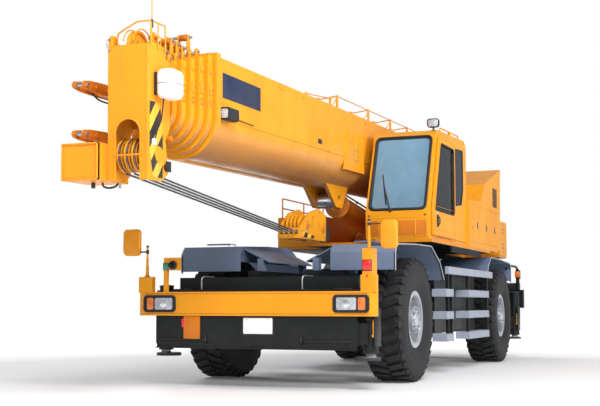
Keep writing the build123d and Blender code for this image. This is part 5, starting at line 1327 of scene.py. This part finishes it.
def make_cluster():
    """Hose guides, brackets and pins stacked on the ends of the inner sections."""
    for number in range(2, 7):
        inset = 0.037 * (number - 1)
        front = 9.05 + 0.12 * (number - 1)
        top = 0.62 - inset + 0.026
        body = "tip" if number == 6 else f"section_{number}"
        trim = Piece(f"section_{number}_fittings", body, "body_yellow", (), boom_matrix)
        for side in (-1, 1):
            y = side * (0.25 - inset * 0.4)
            trim.prism([(front - 0.085, top - 0.002), (front - 0.01, top - 0.002),
                        (front - 0.02, top + 0.07), (front - 0.055, top + 0.085),
                        (front - 0.08, top + 0.05)], 1, y - 0.012, y + 0.012, amber, 0.003)
            trim.rod((front - 0.05, y - 0.03, top + 0.045), (front - 0.05, y + 0.03, top + 0.045), 0.014,
                     steel, 14, 0.002)
        trim.rod((front - 0.05, -0.2, top + 0.02), (front - 0.05, 0.2, top + 0.02), 0.012, burnt_amber, 12)
        tall = 0.13 + 0.05 * (number % 3)
        for y in (-0.1, 0.03, 0.14):
            trim.prism([(front - 0.08, top - 0.002), (front - 0.012, top - 0.002),
                        (front - 0.018, top + tall * 0.7), (front - 0.035, top + tall),
                        (front - 0.06, top + tall), (front - 0.075, top + tall * 0.6)], 1, y - 0.009,
                       y + 0.009, amber, 0.003)
        trim.rod((front - 0.047, -0.14, top + tall - 0.03), (front - 0.047, 0.18, top + tall - 0.03), 0.015,
                 steel, 14, 0.002)
        trim.rod((front - 0.047, 0.05, top + tall - 0.03), (front - 0.047, 0.12, top + tall - 0.03), 0.034,
                 burnt_amber, 20, 0.004)
        trim.rod((front - 0.045, -0.18, top), (front - 0.045, -0.18, top + tall * 0.8), 0.016, burnt_amber,
                 12, 0.003)
        half = 0.4 - inset + 0.026
        trim.block((front - 0.075, half - 0.001, 0.2), (front - 0.02, half + 0.014, 0.3), amber, 0.004)
        trim.rod((front - 0.048, half, 0.25), (front - 0.048, half + 0.022, 0.25), 0.014, burnt_amber, 14,
                 0.002)
        trim.block((front - 0.075, half - 0.001, 0.42), (front - 0.02, half + 0.012, 0.47), amber, 0.003)
        trim.studs(burnt_amber, 6, 0.03, 0.007, 0.008, (front - 0.048, half + 0.002, 0.12), (0, 1, 0))
        trim.done()


def make_ropes():
    """The falls from the lower sheaves to the hook block, each with its end socket."""
    ropes = Piece("wire_ropes", "tip", "rope_steel", ("hoist_ropes",))
    (pivot_x, pivot_y, pivot_z), (u, v) = boom_pivot, lower_sheaves
    drop = sheave_radius + 0.011 + 0.0003 - v
    start_y = pivot_y - u * math.cos(boom_tilt) + drop * math.sin(boom_tilt)
    start_z = pivot_z - u * math.sin(boom_tilt) - drop * math.cos(boom_tilt)
    for side in rope_rows:
        start = Vector((pivot_x + side, start_y, start_z))
        end = Vector((hook_x + side * rope_spread_at_hook, *hook_rope_end))
        ropes.grown(laid_rope.grow(rope_steel, length=(end - start).length, radius=0.0115, lay=0.16),
                    rope_steel, along_axis(start, end - start))
        socket_start = end - (end - start).normalized() * 0.11
        ropes.rod(socket_start, end, 0.014, steel, 12, 0.002)
    ropes.done(60)


def make_hook_trim():
    """Sheave covers, bolts, warning stripes, rope pads, safety latch and nut of the hook block."""
    trim = Piece("hook_trim", "tip", "body_yellow")
    x = hook_x
    for side in (-1, 1):
        face = x + side * 0.15
        for y, z in ((-2.06, 1.945), (-1.51, 1.93)):
            trim.lathe([(0.05, 0.0), (0.05, 0.008), (0.04, 0.012), (0.001, 0.013)],
                       (face - side * 0.001, y, z), (side, 0, 0), burnt_amber, 28)
        trim.studs(steel, 5, 0.075, 0.009, 0.01, (face, -2.06, 1.945), (side, 0, 0))
        for y, z in ((-2.25, 1.8), (-2.25, 1.87), (-1.45, 1.82), (-1.65, 2.14)):
            trim.rod((face - side * 0.002, y, z), (face + side * 0.009, y, z), 0.012, steel, 6)
        low_x, high_x = sorted((face - side * 0.001, face + side * 0.003))
        trim.prism([(-2.2, 1.79), (-1.72, 1.79), (-1.86, 1.83), (-2.2, 1.86)], 0, low_x, high_x, warning,
                   0.0005)
    for row in rope_rows:
        rope_x = x + row * rope_spread_at_hook
        trim.block((rope_x - 0.018, -2.304, 1.825), (rope_x + 0.018, -2.294, 1.875), rubber, 0.003)
    latch = [(x, -1.19, 1.99), (x, -1.12, 2.02), (x, -1.03, 2.0), (x, -0.985, 1.95)]
    trim.tube(latch, 0.03, 0.011, steel, 10)
    trim.lathe([(0.05, 0.0), (0.058, 0.004), (0.058, 0.03), (0.05, 0.034)], (x, -1.4, 1.93), (0, 1, 0),
               steel, 6)
    trim.done()


def make_jib():
    """The stowed jib with its forked chords, uprights, braces and brackets, and the reel beside the boom."""
    jib = Piece("stowed_jib", "boom", "body_yellow", ("jib",), boom_matrix)
    root, fork, end = 2.4, 9.3, 9.965
    for v in jib_chords:
        jib.block((root, jib_y - 0.06, v - 0.06), (fork, jib_y + 0.06, v + 0.06), pale_amber, 0.012, steps=3)
        jib.block((fork - 0.05, jib_y - 0.045, v - 0.05), (fork + 0.22, jib_y + 0.045, v + 0.05), amber,
                  0.006)
        for edge in (-1, 1):
            inner, outer = sorted((jib_y + edge * 0.045, jib_y + edge * 0.068))
            jib.prism([(fork - 0.1, v - 0.06), (fork + 0.3, v - 0.058), (end - 0.13, v - 0.05),
                       (end - 0.03, v - 0.035), (end, v), (end - 0.03, v + 0.035), (end - 0.13, v + 0.05),
                       (fork + 0.3, v + 0.058), (fork - 0.1, v + 0.06)], 1, inner, outer, burnt_amber, 0.004)
        jib.rod((end - 0.06, jib_y - 0.09, v), (end - 0.06, jib_y + 0.09, v), 0.019, steel, 16, 0.003)
        for u in (fork - 0.02, fork + 0.2, fork + 0.42):
            jib.rod((u, jib_y - 0.082, v), (u, jib_y + 0.082, v), 0.022, burnt_amber, 16, 0.003)
        jib.rod((root - 0.004, jib_y, v), (root + 0.02, jib_y, v), 0.045, burnt_amber, 20, 0.003)
        hose = [(9.1, jib_y - 0.03, v - 0.06), (9.3, jib_y - 0.03, v - 0.1), (9.55, jib_y - 0.02, v - 0.095),
                (9.7, jib_y, v - 0.05)]
        jib.tube(hose, 0.08, 0.009, rubber, 8)
    for index in range(8):
        u = 2.5 + index * 0.9
        jib.block((u, jib_y - 0.035, -0.23), (u + 0.07, jib_y + 0.035, 0.25), pale_amber, 0.008)
        if index:
            jib.pipe([(u - 0.86 + 0.05, jib_y, -0.17), (u + 0.02, jib_y, 0.19)], 0.022, amber, 12)
    for u in (3.2, 8.3):
        jib.block((u, jib_y, -0.26), (u + 0.12, -0.4015, 0.3), amber, 0.006)
        for v in (-0.12, 0.16):
            jib.rod((u + 0.06, jib_y - 0.085, v), (u + 0.06, jib_y + 0.02, v), 0.02, steel, 16, 0.003)
    reel = (9.2, -0.49, 0.02)
    jib.lathe([(0.03, -0.075), (0.14, -0.075), (0.14, -0.065), (0.07, -0.06), (0.07, 0.04), (0.14, 0.045),
               (0.14, 0.055), (0.03, 0.055)], reel, (0, 1, 0), pale_amber, 40)
    jib.grown(rope_winding.grow(rubber, turns=10.0, radius=0.08, width=0.095, rope=0.0055), rubber,
              along_axis((reel[0], reel[1] - 0.055, reel[2]), (0, 1, 0)))
    jib.block((9.12, -0.585, -0.2), (9.28, -0.563, 0.23), amber, 0.004)
    jib.done()


def make_roof_lamp():
    """The work lamp on the cab's roof."""
    lamp = Piece("roof_work_lamp", "upper", "lamp", ("roof_lamp",))
    x, y, z = 1.29, 0.14, 3.4974
    lamp.rod((x, y, 3.3924), (x, y, 3.402), 0.03, black_plastic, 20, 0.002)
    lamp.rod((x, y, 3.40), (x, y, 3.45), 0.013, black_steel, 14)
    lamp.prism(rounded_rect((x, z), 0.168, 0.123, 0.035), 1, y - 0.03, y + 0.025, black_plastic, 0.006)
    lamp.prism(rounded_rect((x, z), 0.13, 0.09, 0.025), 1, y + 0.02, y + 0.048, black_plastic, 0.012)
    lamp.prism(rounded_rect((x, z), 0.15, 0.105, 0.03), 1, y - 0.036, y - 0.028, chrome, 0.002)
    lamp.prism(rounded_rect((x, z), 0.14, 0.096, 0.026), 1, y - 0.044, y - 0.034, clear_lens, 0.004)
    rim = [(px, y - 0.036, pz) for px, pz in rounded_rect((x, z), 0.158, 0.113, 0.032)]
    lamp.ring(rim, 0.006, rubber, 8)
    lamp.done()


# Carrier
def make_step_grips():
    """Raised bars on the treads and grooves along their edges."""
    grips = Piece("step_grips", "carrier", "step_grey")
    for side in (-1, 1):
        for front_y, rear_y in ((0.15, 0.56), (1.5, 2.9)):
            for top in step_levels:
                count = int((rear_y - front_y - 0.06) / 0.045)
                grips.bars(step_grey, count, 0.045, 0.15, 0.014, 0.008,
                           Matrix.Translation((side * 1.345, front_y + 0.05, top)))
                low_x, high_x = sorted((side * 1.4495, side * 1.4525))
                grips.block((low_x, front_y + 0.012, top - 0.03), (high_x, rear_y - 0.012, top - 0.012),
                            step_grey, 0.001)
                grips.block((low_x, front_y + 0.012, top - 0.093), (high_x, rear_y - 0.012, top - 0.078),
                            step_grey, 0.001)
        count = int(2.8 / 0.06)
        grips.bars(step_grey, count, 0.06, 0.04, 0.018, 0.008,
                   Matrix.Translation((side * 1.422, 0.31, 1.492)))
    grips.done()


def make_cover_trim():
    """Painted highlights along the wheel covers' edges (light grey bars), with hinges and handles."""
    trim = Piece("cover_trim", "carrier", "chassis_black")
    front_slope = [(0.76, 1.74), (1.19, 1.545), (1.41, 1.31)]
    rear_slope = [(0.76, 1.74), (0.98, 1.6), (1.03, 1.5)]
    for axle_y, end, slope in ((front_axle_y, -1, front_slope), (rear_axle_y, 1, rear_slope)):
        outline = [(0.9, 1.38), (0.9, 1.6), (0.82, 1.695), (0.02, 1.73)]
        path = [(axle_y + end * y, z) for y, z in outline] + [(axle_y - end * y, z) for y, z in slope]
        for side in (-1, 1):
            # A light grey bar along each cover's edge: painted highlight.
            edge = [(side * 1.4235, y, z - 0.007) for y, z in path]
            trim.tube(edge, 0.02, 0.0085, step_grey, 8)
            lip = [(side * 1.415, y, z - 0.022) for y, z in path]
            trim.tube(lip, 0.02, 0.01, rubber, 8)
    for side in (-1, 1):
        for y in (-2.0, -0.75):
            trim.block((side * 1.0 - 0.16, y - 0.012, 1.722), (side * 1.0 + 0.16, y + 0.012, 1.741), slate,
                       0.003)
        trim.tube([(side * 0.9, -1.9, 1.715), (side * 0.9, -1.9, 1.742), (side * 0.9, -1.7, 1.742),
                   (side * 0.9, -1.7, 1.722)], 0.015, 0.006, black_steel, 8)
    trim.done()


def make_hood_trim():
    """Hinges, louvres, exhaust, number plate and rear lamp posts."""
    trim = Piece("hood_trim", "carrier", "chassis_black")
    for side in (-1, 1):
        for y in (3.4, 4.2):
            trim.block((side * 0.53 - 0.02, y, 1.7002), (side * 0.53 + 0.02, y + 0.12, 1.712), black_steel,
                       0.003)
        face = side * 0.5602
        low, high = sorted((face, face + side * 0.004))
        trim.block((low, 5.1, 1.45), (high, 6.0, 1.62), chassis_black, 0.001)
        for index in range(6):
            z = 1.465 + index * 0.026
            low, high = sorted((face, face + side * 0.012))
            trim.block((low, 5.13, z), (high, 5.97, z + 0.01), slate, 0.002)
    trim.bars(black_steel, 9, 0.12, 0.78, 0.012, 0.008, Matrix.Translation((0, 4.915, 1.7025)))
    pipe = [(-0.75, 5.0, 1.45), (-0.75, 5.0, 1.66), (-0.75, 5.12, 1.715)]
    trim.tube(pipe, 0.05, 0.045, black_steel, 20)
    trim.rod((-0.75, 4.6, 1.42), (-0.75, 5.15, 1.42), 0.1, iron, 28, 0.012)
    for y in (4.75, 4.99):
        trim.block((-0.8, y, 1.3), (-0.7, y + 0.05, 1.42), black_steel, 0.004)
    trim.block((-0.82, 4.7, 1.27), (-0.415, 5.1, 1.3), black_steel, 0.004)
    hood_end = 6.162
    trim.prism(rounded_rect((0, 1.52), 0.364, 0.16, 0.01), 1, hood_end, hood_end + 0.004, white_sheet, 0.001)
    for side in (-1, 1):
        trim.block((side * 0.38 - 0.15, hood_end, 1.42), (side * 0.38 + 0.15, hood_end + 0.0015, 1.6),
                   warning, 0.0005)
        post_x = side * 1.35
        trim.block((post_x - 0.03, 5.905, 1.24), (post_x + 0.03, 5.965, 1.62), chassis_black, 0.006)
        trim.block((post_x - 0.045, 5.965, 1.44), (post_x + 0.045, 5.99, 1.6), black_plastic, 0.006)
        trim.block((post_x - 0.036, 5.985, 1.455), (post_x + 0.036, 5.9985, 1.585), red_lens, 0.004)
        trim.block((post_x - 0.045, 5.885, 1.47), (post_x + 0.045, 5.907, 1.58), orange_lens, 0.004)
        brace = [(post_x, 5.935, 1.61), (post_x, 5.8, 1.66), (post_x, 5.0, 1.66), (post_x, 4.86, 1.6)]
        trim.tube(brace, 0.06, 0.022, chassis_black, 12)
    trim.done()


def make_upper_trim():
    """Seams, latches, rails, grilles, hoses and bolts of the covers, turntable and counterweight."""
    trim = Piece("upper_trim", "upper", "body_yellow")
    face = cover_face
    for y in (2.45, 3.1, 3.75):
        trim.block((face - 0.001, y, 1.93), (face + 0.0015, y + 0.007, 2.5), burnt_amber, 0.0005)
    for start, end, z in ((1.85, 3.9, 1.93), (1.85, 4.0, 2.5)):
        trim.block((face - 0.001, start, z), (face + 0.0015, end, z + 0.007), burnt_amber, 0.0005)
    for y, z in ((2.37, 2.2), (3.02, 2.2), (3.67, 2.2)):
        trim.prism(rounded_rect((y, z), 0.05, 0.11, 0.015), 0, face - 0.001, face + 0.004, black_plastic,
                   0.001)
        trim.tube([(face, y, z - 0.03), (face + 0.016, y, z - 0.02), (face + 0.016, y, z + 0.02),
                   (face, y, z + 0.03)], 0.01, 0.005, steel, 8)
    for y in (1.9, 2.55, 3.2):
        for z in (2.02, 2.4):
            trim.rod((face + 0.002, y, z - 0.03), (face + 0.002, y, z + 0.03), 0.006, amber, 10)
    trim.prism(rounded_rect((2.0, 2.15), 0.05, 0.05, 0.01), 0, face - 0.001, face + 0.004, burnt_amber,
               0.001)
    wedge = [(2.602, 2.6), (2.89, 2.91), (4.195, 3.29)]
    for first, second in zip(wedge, wedge[1:]):
        trim.pipe([(1.3995, first[0], first[1] - 0.004), (1.3995, second[0], second[1] - 0.004)], 0.008,
                  amber, 8)
    upright = Matrix.Rotation(math.radians(90), 4, "Y")
    trim.bars(black_plastic, 7, 0.05, 0.32, 0.018, 0.008, Matrix.Translation((1.401, 3.55, 2.75)) @ upright)
    for side in (-1, 1):
        for z in (1.98, 2.32):
            trim.studs(steel, 4, 0.07, 0.016, 0.02, (side * 1.25, 5.1, z), (side, 0, 0))
    for x in (-0.9, -0.3, 0.3, 0.9):
        trim.studs(steel, 6, 0.05, 0.014, 0.018, (x, 5.45, 2.15), (0, 1, 0))
    for side in (-1, 1):
        trim.block((side * 0.8 - 0.35, 5.4495, 1.9), (side * 0.8 + 0.35, 5.453, 1.99), warning, 0.0005)
        trim.tube([(side * 0.95, 5.0, 2.449), (side * 0.95, 5.0, 2.5), (side * 0.95, 5.12, 2.5),
                   (side * 0.95, 5.12, 2.449)], 0.02, 0.012, black_steel, 10)
        cheek = boom_pivot[0] + side * 0.51
        trim.lathe([(0.12, 0.0), (0.12, 0.012), (0.1, 0.02), (0.045, 0.022), (0.001, 0.022)],
                   (cheek, *boom_pivot[1:]), (side, 0, 0), burnt_amber, 40)
        trim.studs(steel, 6, 0.085, 0.014, 0.014, (cheek + side * 0.02, *boom_pivot[1:]), (side, 0, 0))
        for y in sorted(drum_places.values()):
            trim.lathe([(0.09, 0.0), (0.09, 0.014), (0.07, 0.018), (0.001, 0.018)], (cheek, y, drum_height),
                       (side, 0, 0), iron, 32)
        rib = [(2.7, 1.9), (2.9, 2.2), (3.7, 2.85)]
        trim.tube([(cheek, y, z) for y, z in rib], 0.05, 0.014, amber, 8)
    trim.studs(steel, 36, 0.795, 0.016, 0.024, (0, 1.63, 1.8505), (0, 0, 1))
    rail_x = -1.355
    for y in (1.0, 1.9, 2.8, 3.7):
        trim.rod((rail_x, y, 2.3), (rail_x, y, 2.6), 0.011, amber, 10)
    for z in (2.45, 2.6):
        trim.pipe([(rail_x, 1.0, z), (rail_x, 3.7, z)], 0.011, amber, 10)
    trim.lathe([(0.06, 0.0), (0.06, 0.03), (0.05, 0.04), (0.001, 0.042)], (-1.1, 1.3, 2.3), (0, 0, 1),
               black_plastic, 28)
    trim.block((-1.25, 2.0, 2.3), (-0.8, 2.5, 2.312), burnt_amber, 0.003)
    for y in (1.6, 2.8, 3.6):
        trim.block((-1.4025, y, 1.9), (-1.399, y + 0.007, 2.26), burnt_amber, 0.0005)
    trim.bars(black_plastic, 9, 0.05, 0.26, 0.02, 0.012, Matrix.Translation((-1.4005, 2.9, 2.09)) @ upright)
    for x in (-0.3, -0.2, 0.15, 0.25):
        hose = [(x, 2.2, 1.855), (x, 2.3, 1.95), (x * 0.8 - 0.05, 2.75, 2.0), (x * 0.8 - 0.05, 3.3, 1.95),
                (x, 3.6, 1.86)]
        trim.tube(hose, 0.1, 0.014, rubber, 10)
    trim.done()


def make_drum_ropes():
    """Two layers of rope on each winch drum, and the bolts in its flanges."""
    for name, y in drum_places.items():
        rope = Piece(f"drum_{name}_rope", f"drum_{name}", "rope_steel")
        for layer, turns in ((0.2005, 31.0), (0.2215, 30.0)):
            rope.grown(rope_winding.grow(rope_steel, turns=turns, radius=layer, width=0.68, rope=0.0108),
                       rope_steel, along_axis((boom_pivot[0] - 0.34, y, drum_height), (1, 0, 0)))
        for side in (-1, 1):
            rope.studs(steel, 8, 0.12, 0.012, 0.012, (boom_pivot[0] + side * 0.381, y, drum_height),
                       (side, 0, 0))
        rope.done(60)


def make_cylinder_trim():
    """Bands and two oil pipes with clips on the derrick cylinder's barrel."""
    pivot_x, pivot_y, pivot_z = boom_pivot
    eye_u, eye_v = 4.7, -0.55
    foot = Vector((pivot_x, 2.6, 2.03))
    eye = Vector((pivot_x, pivot_y - eye_u * math.cos(boom_tilt) - eye_v * math.sin(boom_tilt),
                  pivot_z - eye_u * math.sin(boom_tilt) + eye_v * math.cos(boom_tilt)))
    axis = (eye - foot).normalized()
    length = (eye - foot).length
    barrel = Piece("barrel_trim", "barrel", "cylinder_black")
    for distance in (0.2, length * 0.45, length - 0.43):
        barrel.lathe([(0.1655, -0.03), (0.178, -0.025), (0.178, 0.025), (0.1655, 0.03)],
                     foot + axis * distance, axis, burnt_amber, 44, closed=True)
    up = Vector((0, axis.z, -axis.y))
    up = up if up.z > 0 else -up
    for x in (-0.06, 0.06):
        start = foot + axis * 0.3 + up * 0.163 + Vector((x, 0, 0))
        end = foot + axis * (length - 0.5) + up * 0.163 + Vector((x, 0, 0))
        path = [start, start + up * 0.03, end + up * 0.03, end]
        barrel.tube(path, 0.03, 0.013, burnt_amber, 10)
        for part in (0.25, 0.5, 0.75):
            middle = start.lerp(end, part) + up * 0.025
            barrel.rod(middle - axis * 0.018, middle + axis * 0.018, 0.019, black_steel, 14, 0.002)
    barrel.done()


def make_outrigger_trim():
    """Collars, locking pin, hose and end plate on each outrigger beam, and rings on its float."""
    for spot, (side, axle_y) in wheel_spots.items():
        housing_y = -2.84 if axle_y < 0 else 5.61
        beam_y = housing_y - side * 0.15
        beam = Piece(f"outrigger_{spot}_trim", f"beam_{spot}", "chassis_black")
        x = side * 1.37
        for z in (0.424, 0.8, 1.19):
            beam.lathe([(0.0855, -0.008), (0.092, -0.005), (0.092, 0.005), (0.0855, 0.008)], (x, beam_y, z),
                       (0, 0, 1), black_steel, 36, closed=True)
        beam.lathe([(0.06, 0.0), (0.055, 0.006), (0.03, 0.008), (0.001, 0.008)], (x, beam_y, 1.1998),
                   (0, 0, 1), black_steel, 28)
        pin = [(x + side * 0.06, beam_y - 0.075, 0.62), (x + side * 0.06, beam_y - 0.1, 0.62),
               (x + side * 0.06, beam_y - 0.1, 0.78), (x + side * 0.06, beam_y - 0.085, 0.8)]
        beam.tube(pin, 0.012, 0.009, amber, 10)
        beam.rod((x + side * 0.06, beam_y - 0.09, 0.62), (x + side * 0.06, beam_y - 0.11, 0.62), 0.018,
                 amber, 14, 0.003)
        hose = [(x - side * 0.05, beam_y + 0.07, 1.1), (x - side * 0.08, beam_y + 0.1, 1.0),
                (x - side * 0.08, beam_y + 0.1, 0.85), (x - side * 0.075, beam_y + 0.06, 0.77)]
        beam.tube(hose, 0.05, 0.009, rubber, 8)
        low_x, high_x = sorted((side * 1.437, side * 1.4545))
        beam.block((low_x, beam_y - 0.113, 0.5), (high_x, beam_y + 0.113, 0.92), chassis_black, 0.004)
        for z in (0.54, 0.88):
            for y in (beam_y - 0.09, beam_y + 0.09):
                beam.rod((side * 1.44, y, z), (side * 1.4548, y, z), 0.012, black_steel, 6)
        beam.done()
        pad = Piece(f"jack_{spot}_pad", f"jack_{spot}", "jack_steel")
        pad_x = side * 1.33
        for ring in (0.12, 0.14):
            pad.lathe([(ring - 0.004, 0.0), (ring, 0.004), (ring + 0.004, 0.0)], (pad_x, beam_y, 0.3797),
                      (0, 0, 1), steel, 40, closed=True)
        pad.done()


def make_axle_trim():
    """Spring clips and leaves, and the covers of the differentials with their nuts."""
    trim = Piece("axle_trim", "carrier", "chassis_black")
    for axle_y in (front_axle_y, rear_axle_y):
        for side in (-1, 1):
            x = side * 0.37
            for end in (-0.13, 0.13):
                clip = [(x - 0.055, axle_y + end, 0.83), (x - 0.055, axle_y + end, 0.94),
                        (x + 0.055, axle_y + end, 0.94), (x + 0.055, axle_y + end, 0.83)]
                trim.tube(clip, 0.012, 0.009, black_steel, 8)
            for leaf in range(4):
                reach = 0.5 - leaf * 0.09
                trim.block((x - 0.044, axle_y - reach, 0.872 - leaf * 0.011),
                           (x + 0.044, axle_y + reach, 0.881 - leaf * 0.011), black_steel, 0.002)
        trim.studs(black_steel, 12, 0.2, 0.012, 0.014, (0, axle_y - 0.15, axle_height), (0, -1, 0))
        trim.lathe([(0.16, 0.0), (0.14, 0.05), (0.08, 0.08), (0.001, 0.085)],
                   (0, axle_y - 0.15, axle_height), (0, -1, 0), chassis_black, 40)
    trim.done()


# Studio
def place_camera():
    data = bpy.data.cameras.new("camera")
    data.lens = camera_lens
    data.sensor_width = 36
    data.clip_end = 200
    camera = bpy.data.objects.new("camera", data)
    camera.location = camera_place
    camera.rotation_euler = (math.radians(90 + camera_pitch), 0, math.radians(camera_turn))
    bpy.context.scene.collection.objects.link(camera)
    bpy.context.scene.camera = camera


def lay_floor():
    finish = Finish("studio_floor", {"Emission Strength": 1.0, "Specular IOR Level": 0.1})
    patches = finish.noise(0.4, 2.0).ramp(0.3, 0.7)
    finish.colour(finish.blend(patches * 0.1, (0.88, 0.88, 0.885), (0.85, 0.85, 0.86)))
    finish.rough(0.75 + 0.1 * patches)
    away = finish.node("VectorMath", {"operation": "LENGTH"}, {0: finish.place}, 1).ramp(6.0, 15.0)
    glow = finish.blend(away, (0.05, 0.05, 0.05), (0.8, 0.8, 0.8))
    finish.feed(finish.shader.inputs["Emission Color"], glow)
    mesh = bpy.data.meshes.new("studio_floor")
    mesh.from_pydata([(-60, -60, 0), (60, -60, 0), (60, 60, 0), (-60, 60, 0)], [], [(0, 1, 2, 3)])
    mesh.materials.append(finish.material)
    floor = bpy.data.objects.new("studio_floor", mesh)
    bpy.context.scene.collection.objects.link(floor)


def hang_light(name, energy, size, place, aim):
    data = bpy.data.lights.new(name, "AREA")
    data.energy = energy
    data.size = size
    light = bpy.data.objects.new(name, data)
    light.location = place
    light.rotation_euler = (Vector(aim) - Vector(place)).to_track_quat("-Z", "Y").to_euler()
    bpy.context.scene.collection.objects.link(light)


def light_studio():
    bpy.context.scene.view_settings.view_transform = "Standard"
    world = bpy.data.worlds.new("studio")
    bpy.context.scene.world = world
    world.use_nodes = True
    tree = world.node_tree
    fill = tree.nodes["Background"]
    fill.inputs["Color"].default_value = (0.95, 0.97, 1, 1)
    fill.inputs["Strength"].default_value = 0.4
    backdrop = tree.nodes.new("ShaderNodeBackground")
    backdrop.inputs["Color"].default_value = (1, 1, 1, 1)
    backdrop.inputs["Strength"].default_value = 1.0
    seen = tree.nodes.new("ShaderNodeLightPath")
    choice = tree.nodes.new("ShaderNodeMixShader")
    tree.links.new(seen.outputs["Is Camera Ray"], choice.inputs[0])
    tree.links.new(fill.outputs[0], choice.inputs[1])
    tree.links.new(backdrop.outputs[0], choice.inputs[2])
    tree.links.new(choice.outputs[0], tree.nodes["World Output"].inputs[0])
    hang_light("key", 2600, 6, (8, -15, 12), (0, -2, 1.5))
    hang_light("side", 1600, 6, (16, -3, 8), (0, 1, 1.5))
    hang_light("back", 1500, 8, (-13, 14, 11), (0, 1, 1.5))


place_camera()
lay_floor()
light_studio()
dress_nodes()
make_wheels()
make_lamps()
make_mirrors()
make_front_trim()
make_cab_trim()
make_door_trim()
make_seat()
make_boom_trim()
make_sheaves()
make_head_trim()
make_cluster()
make_ropes()
make_hook_trim()
make_jib()
make_roof_lamp()
make_step_grips()
make_cover_trim()
make_hood_trim()
make_upper_trim()
make_drum_ropes()
make_cylinder_trim()
make_outrigger_trim()
make_axle_trim()
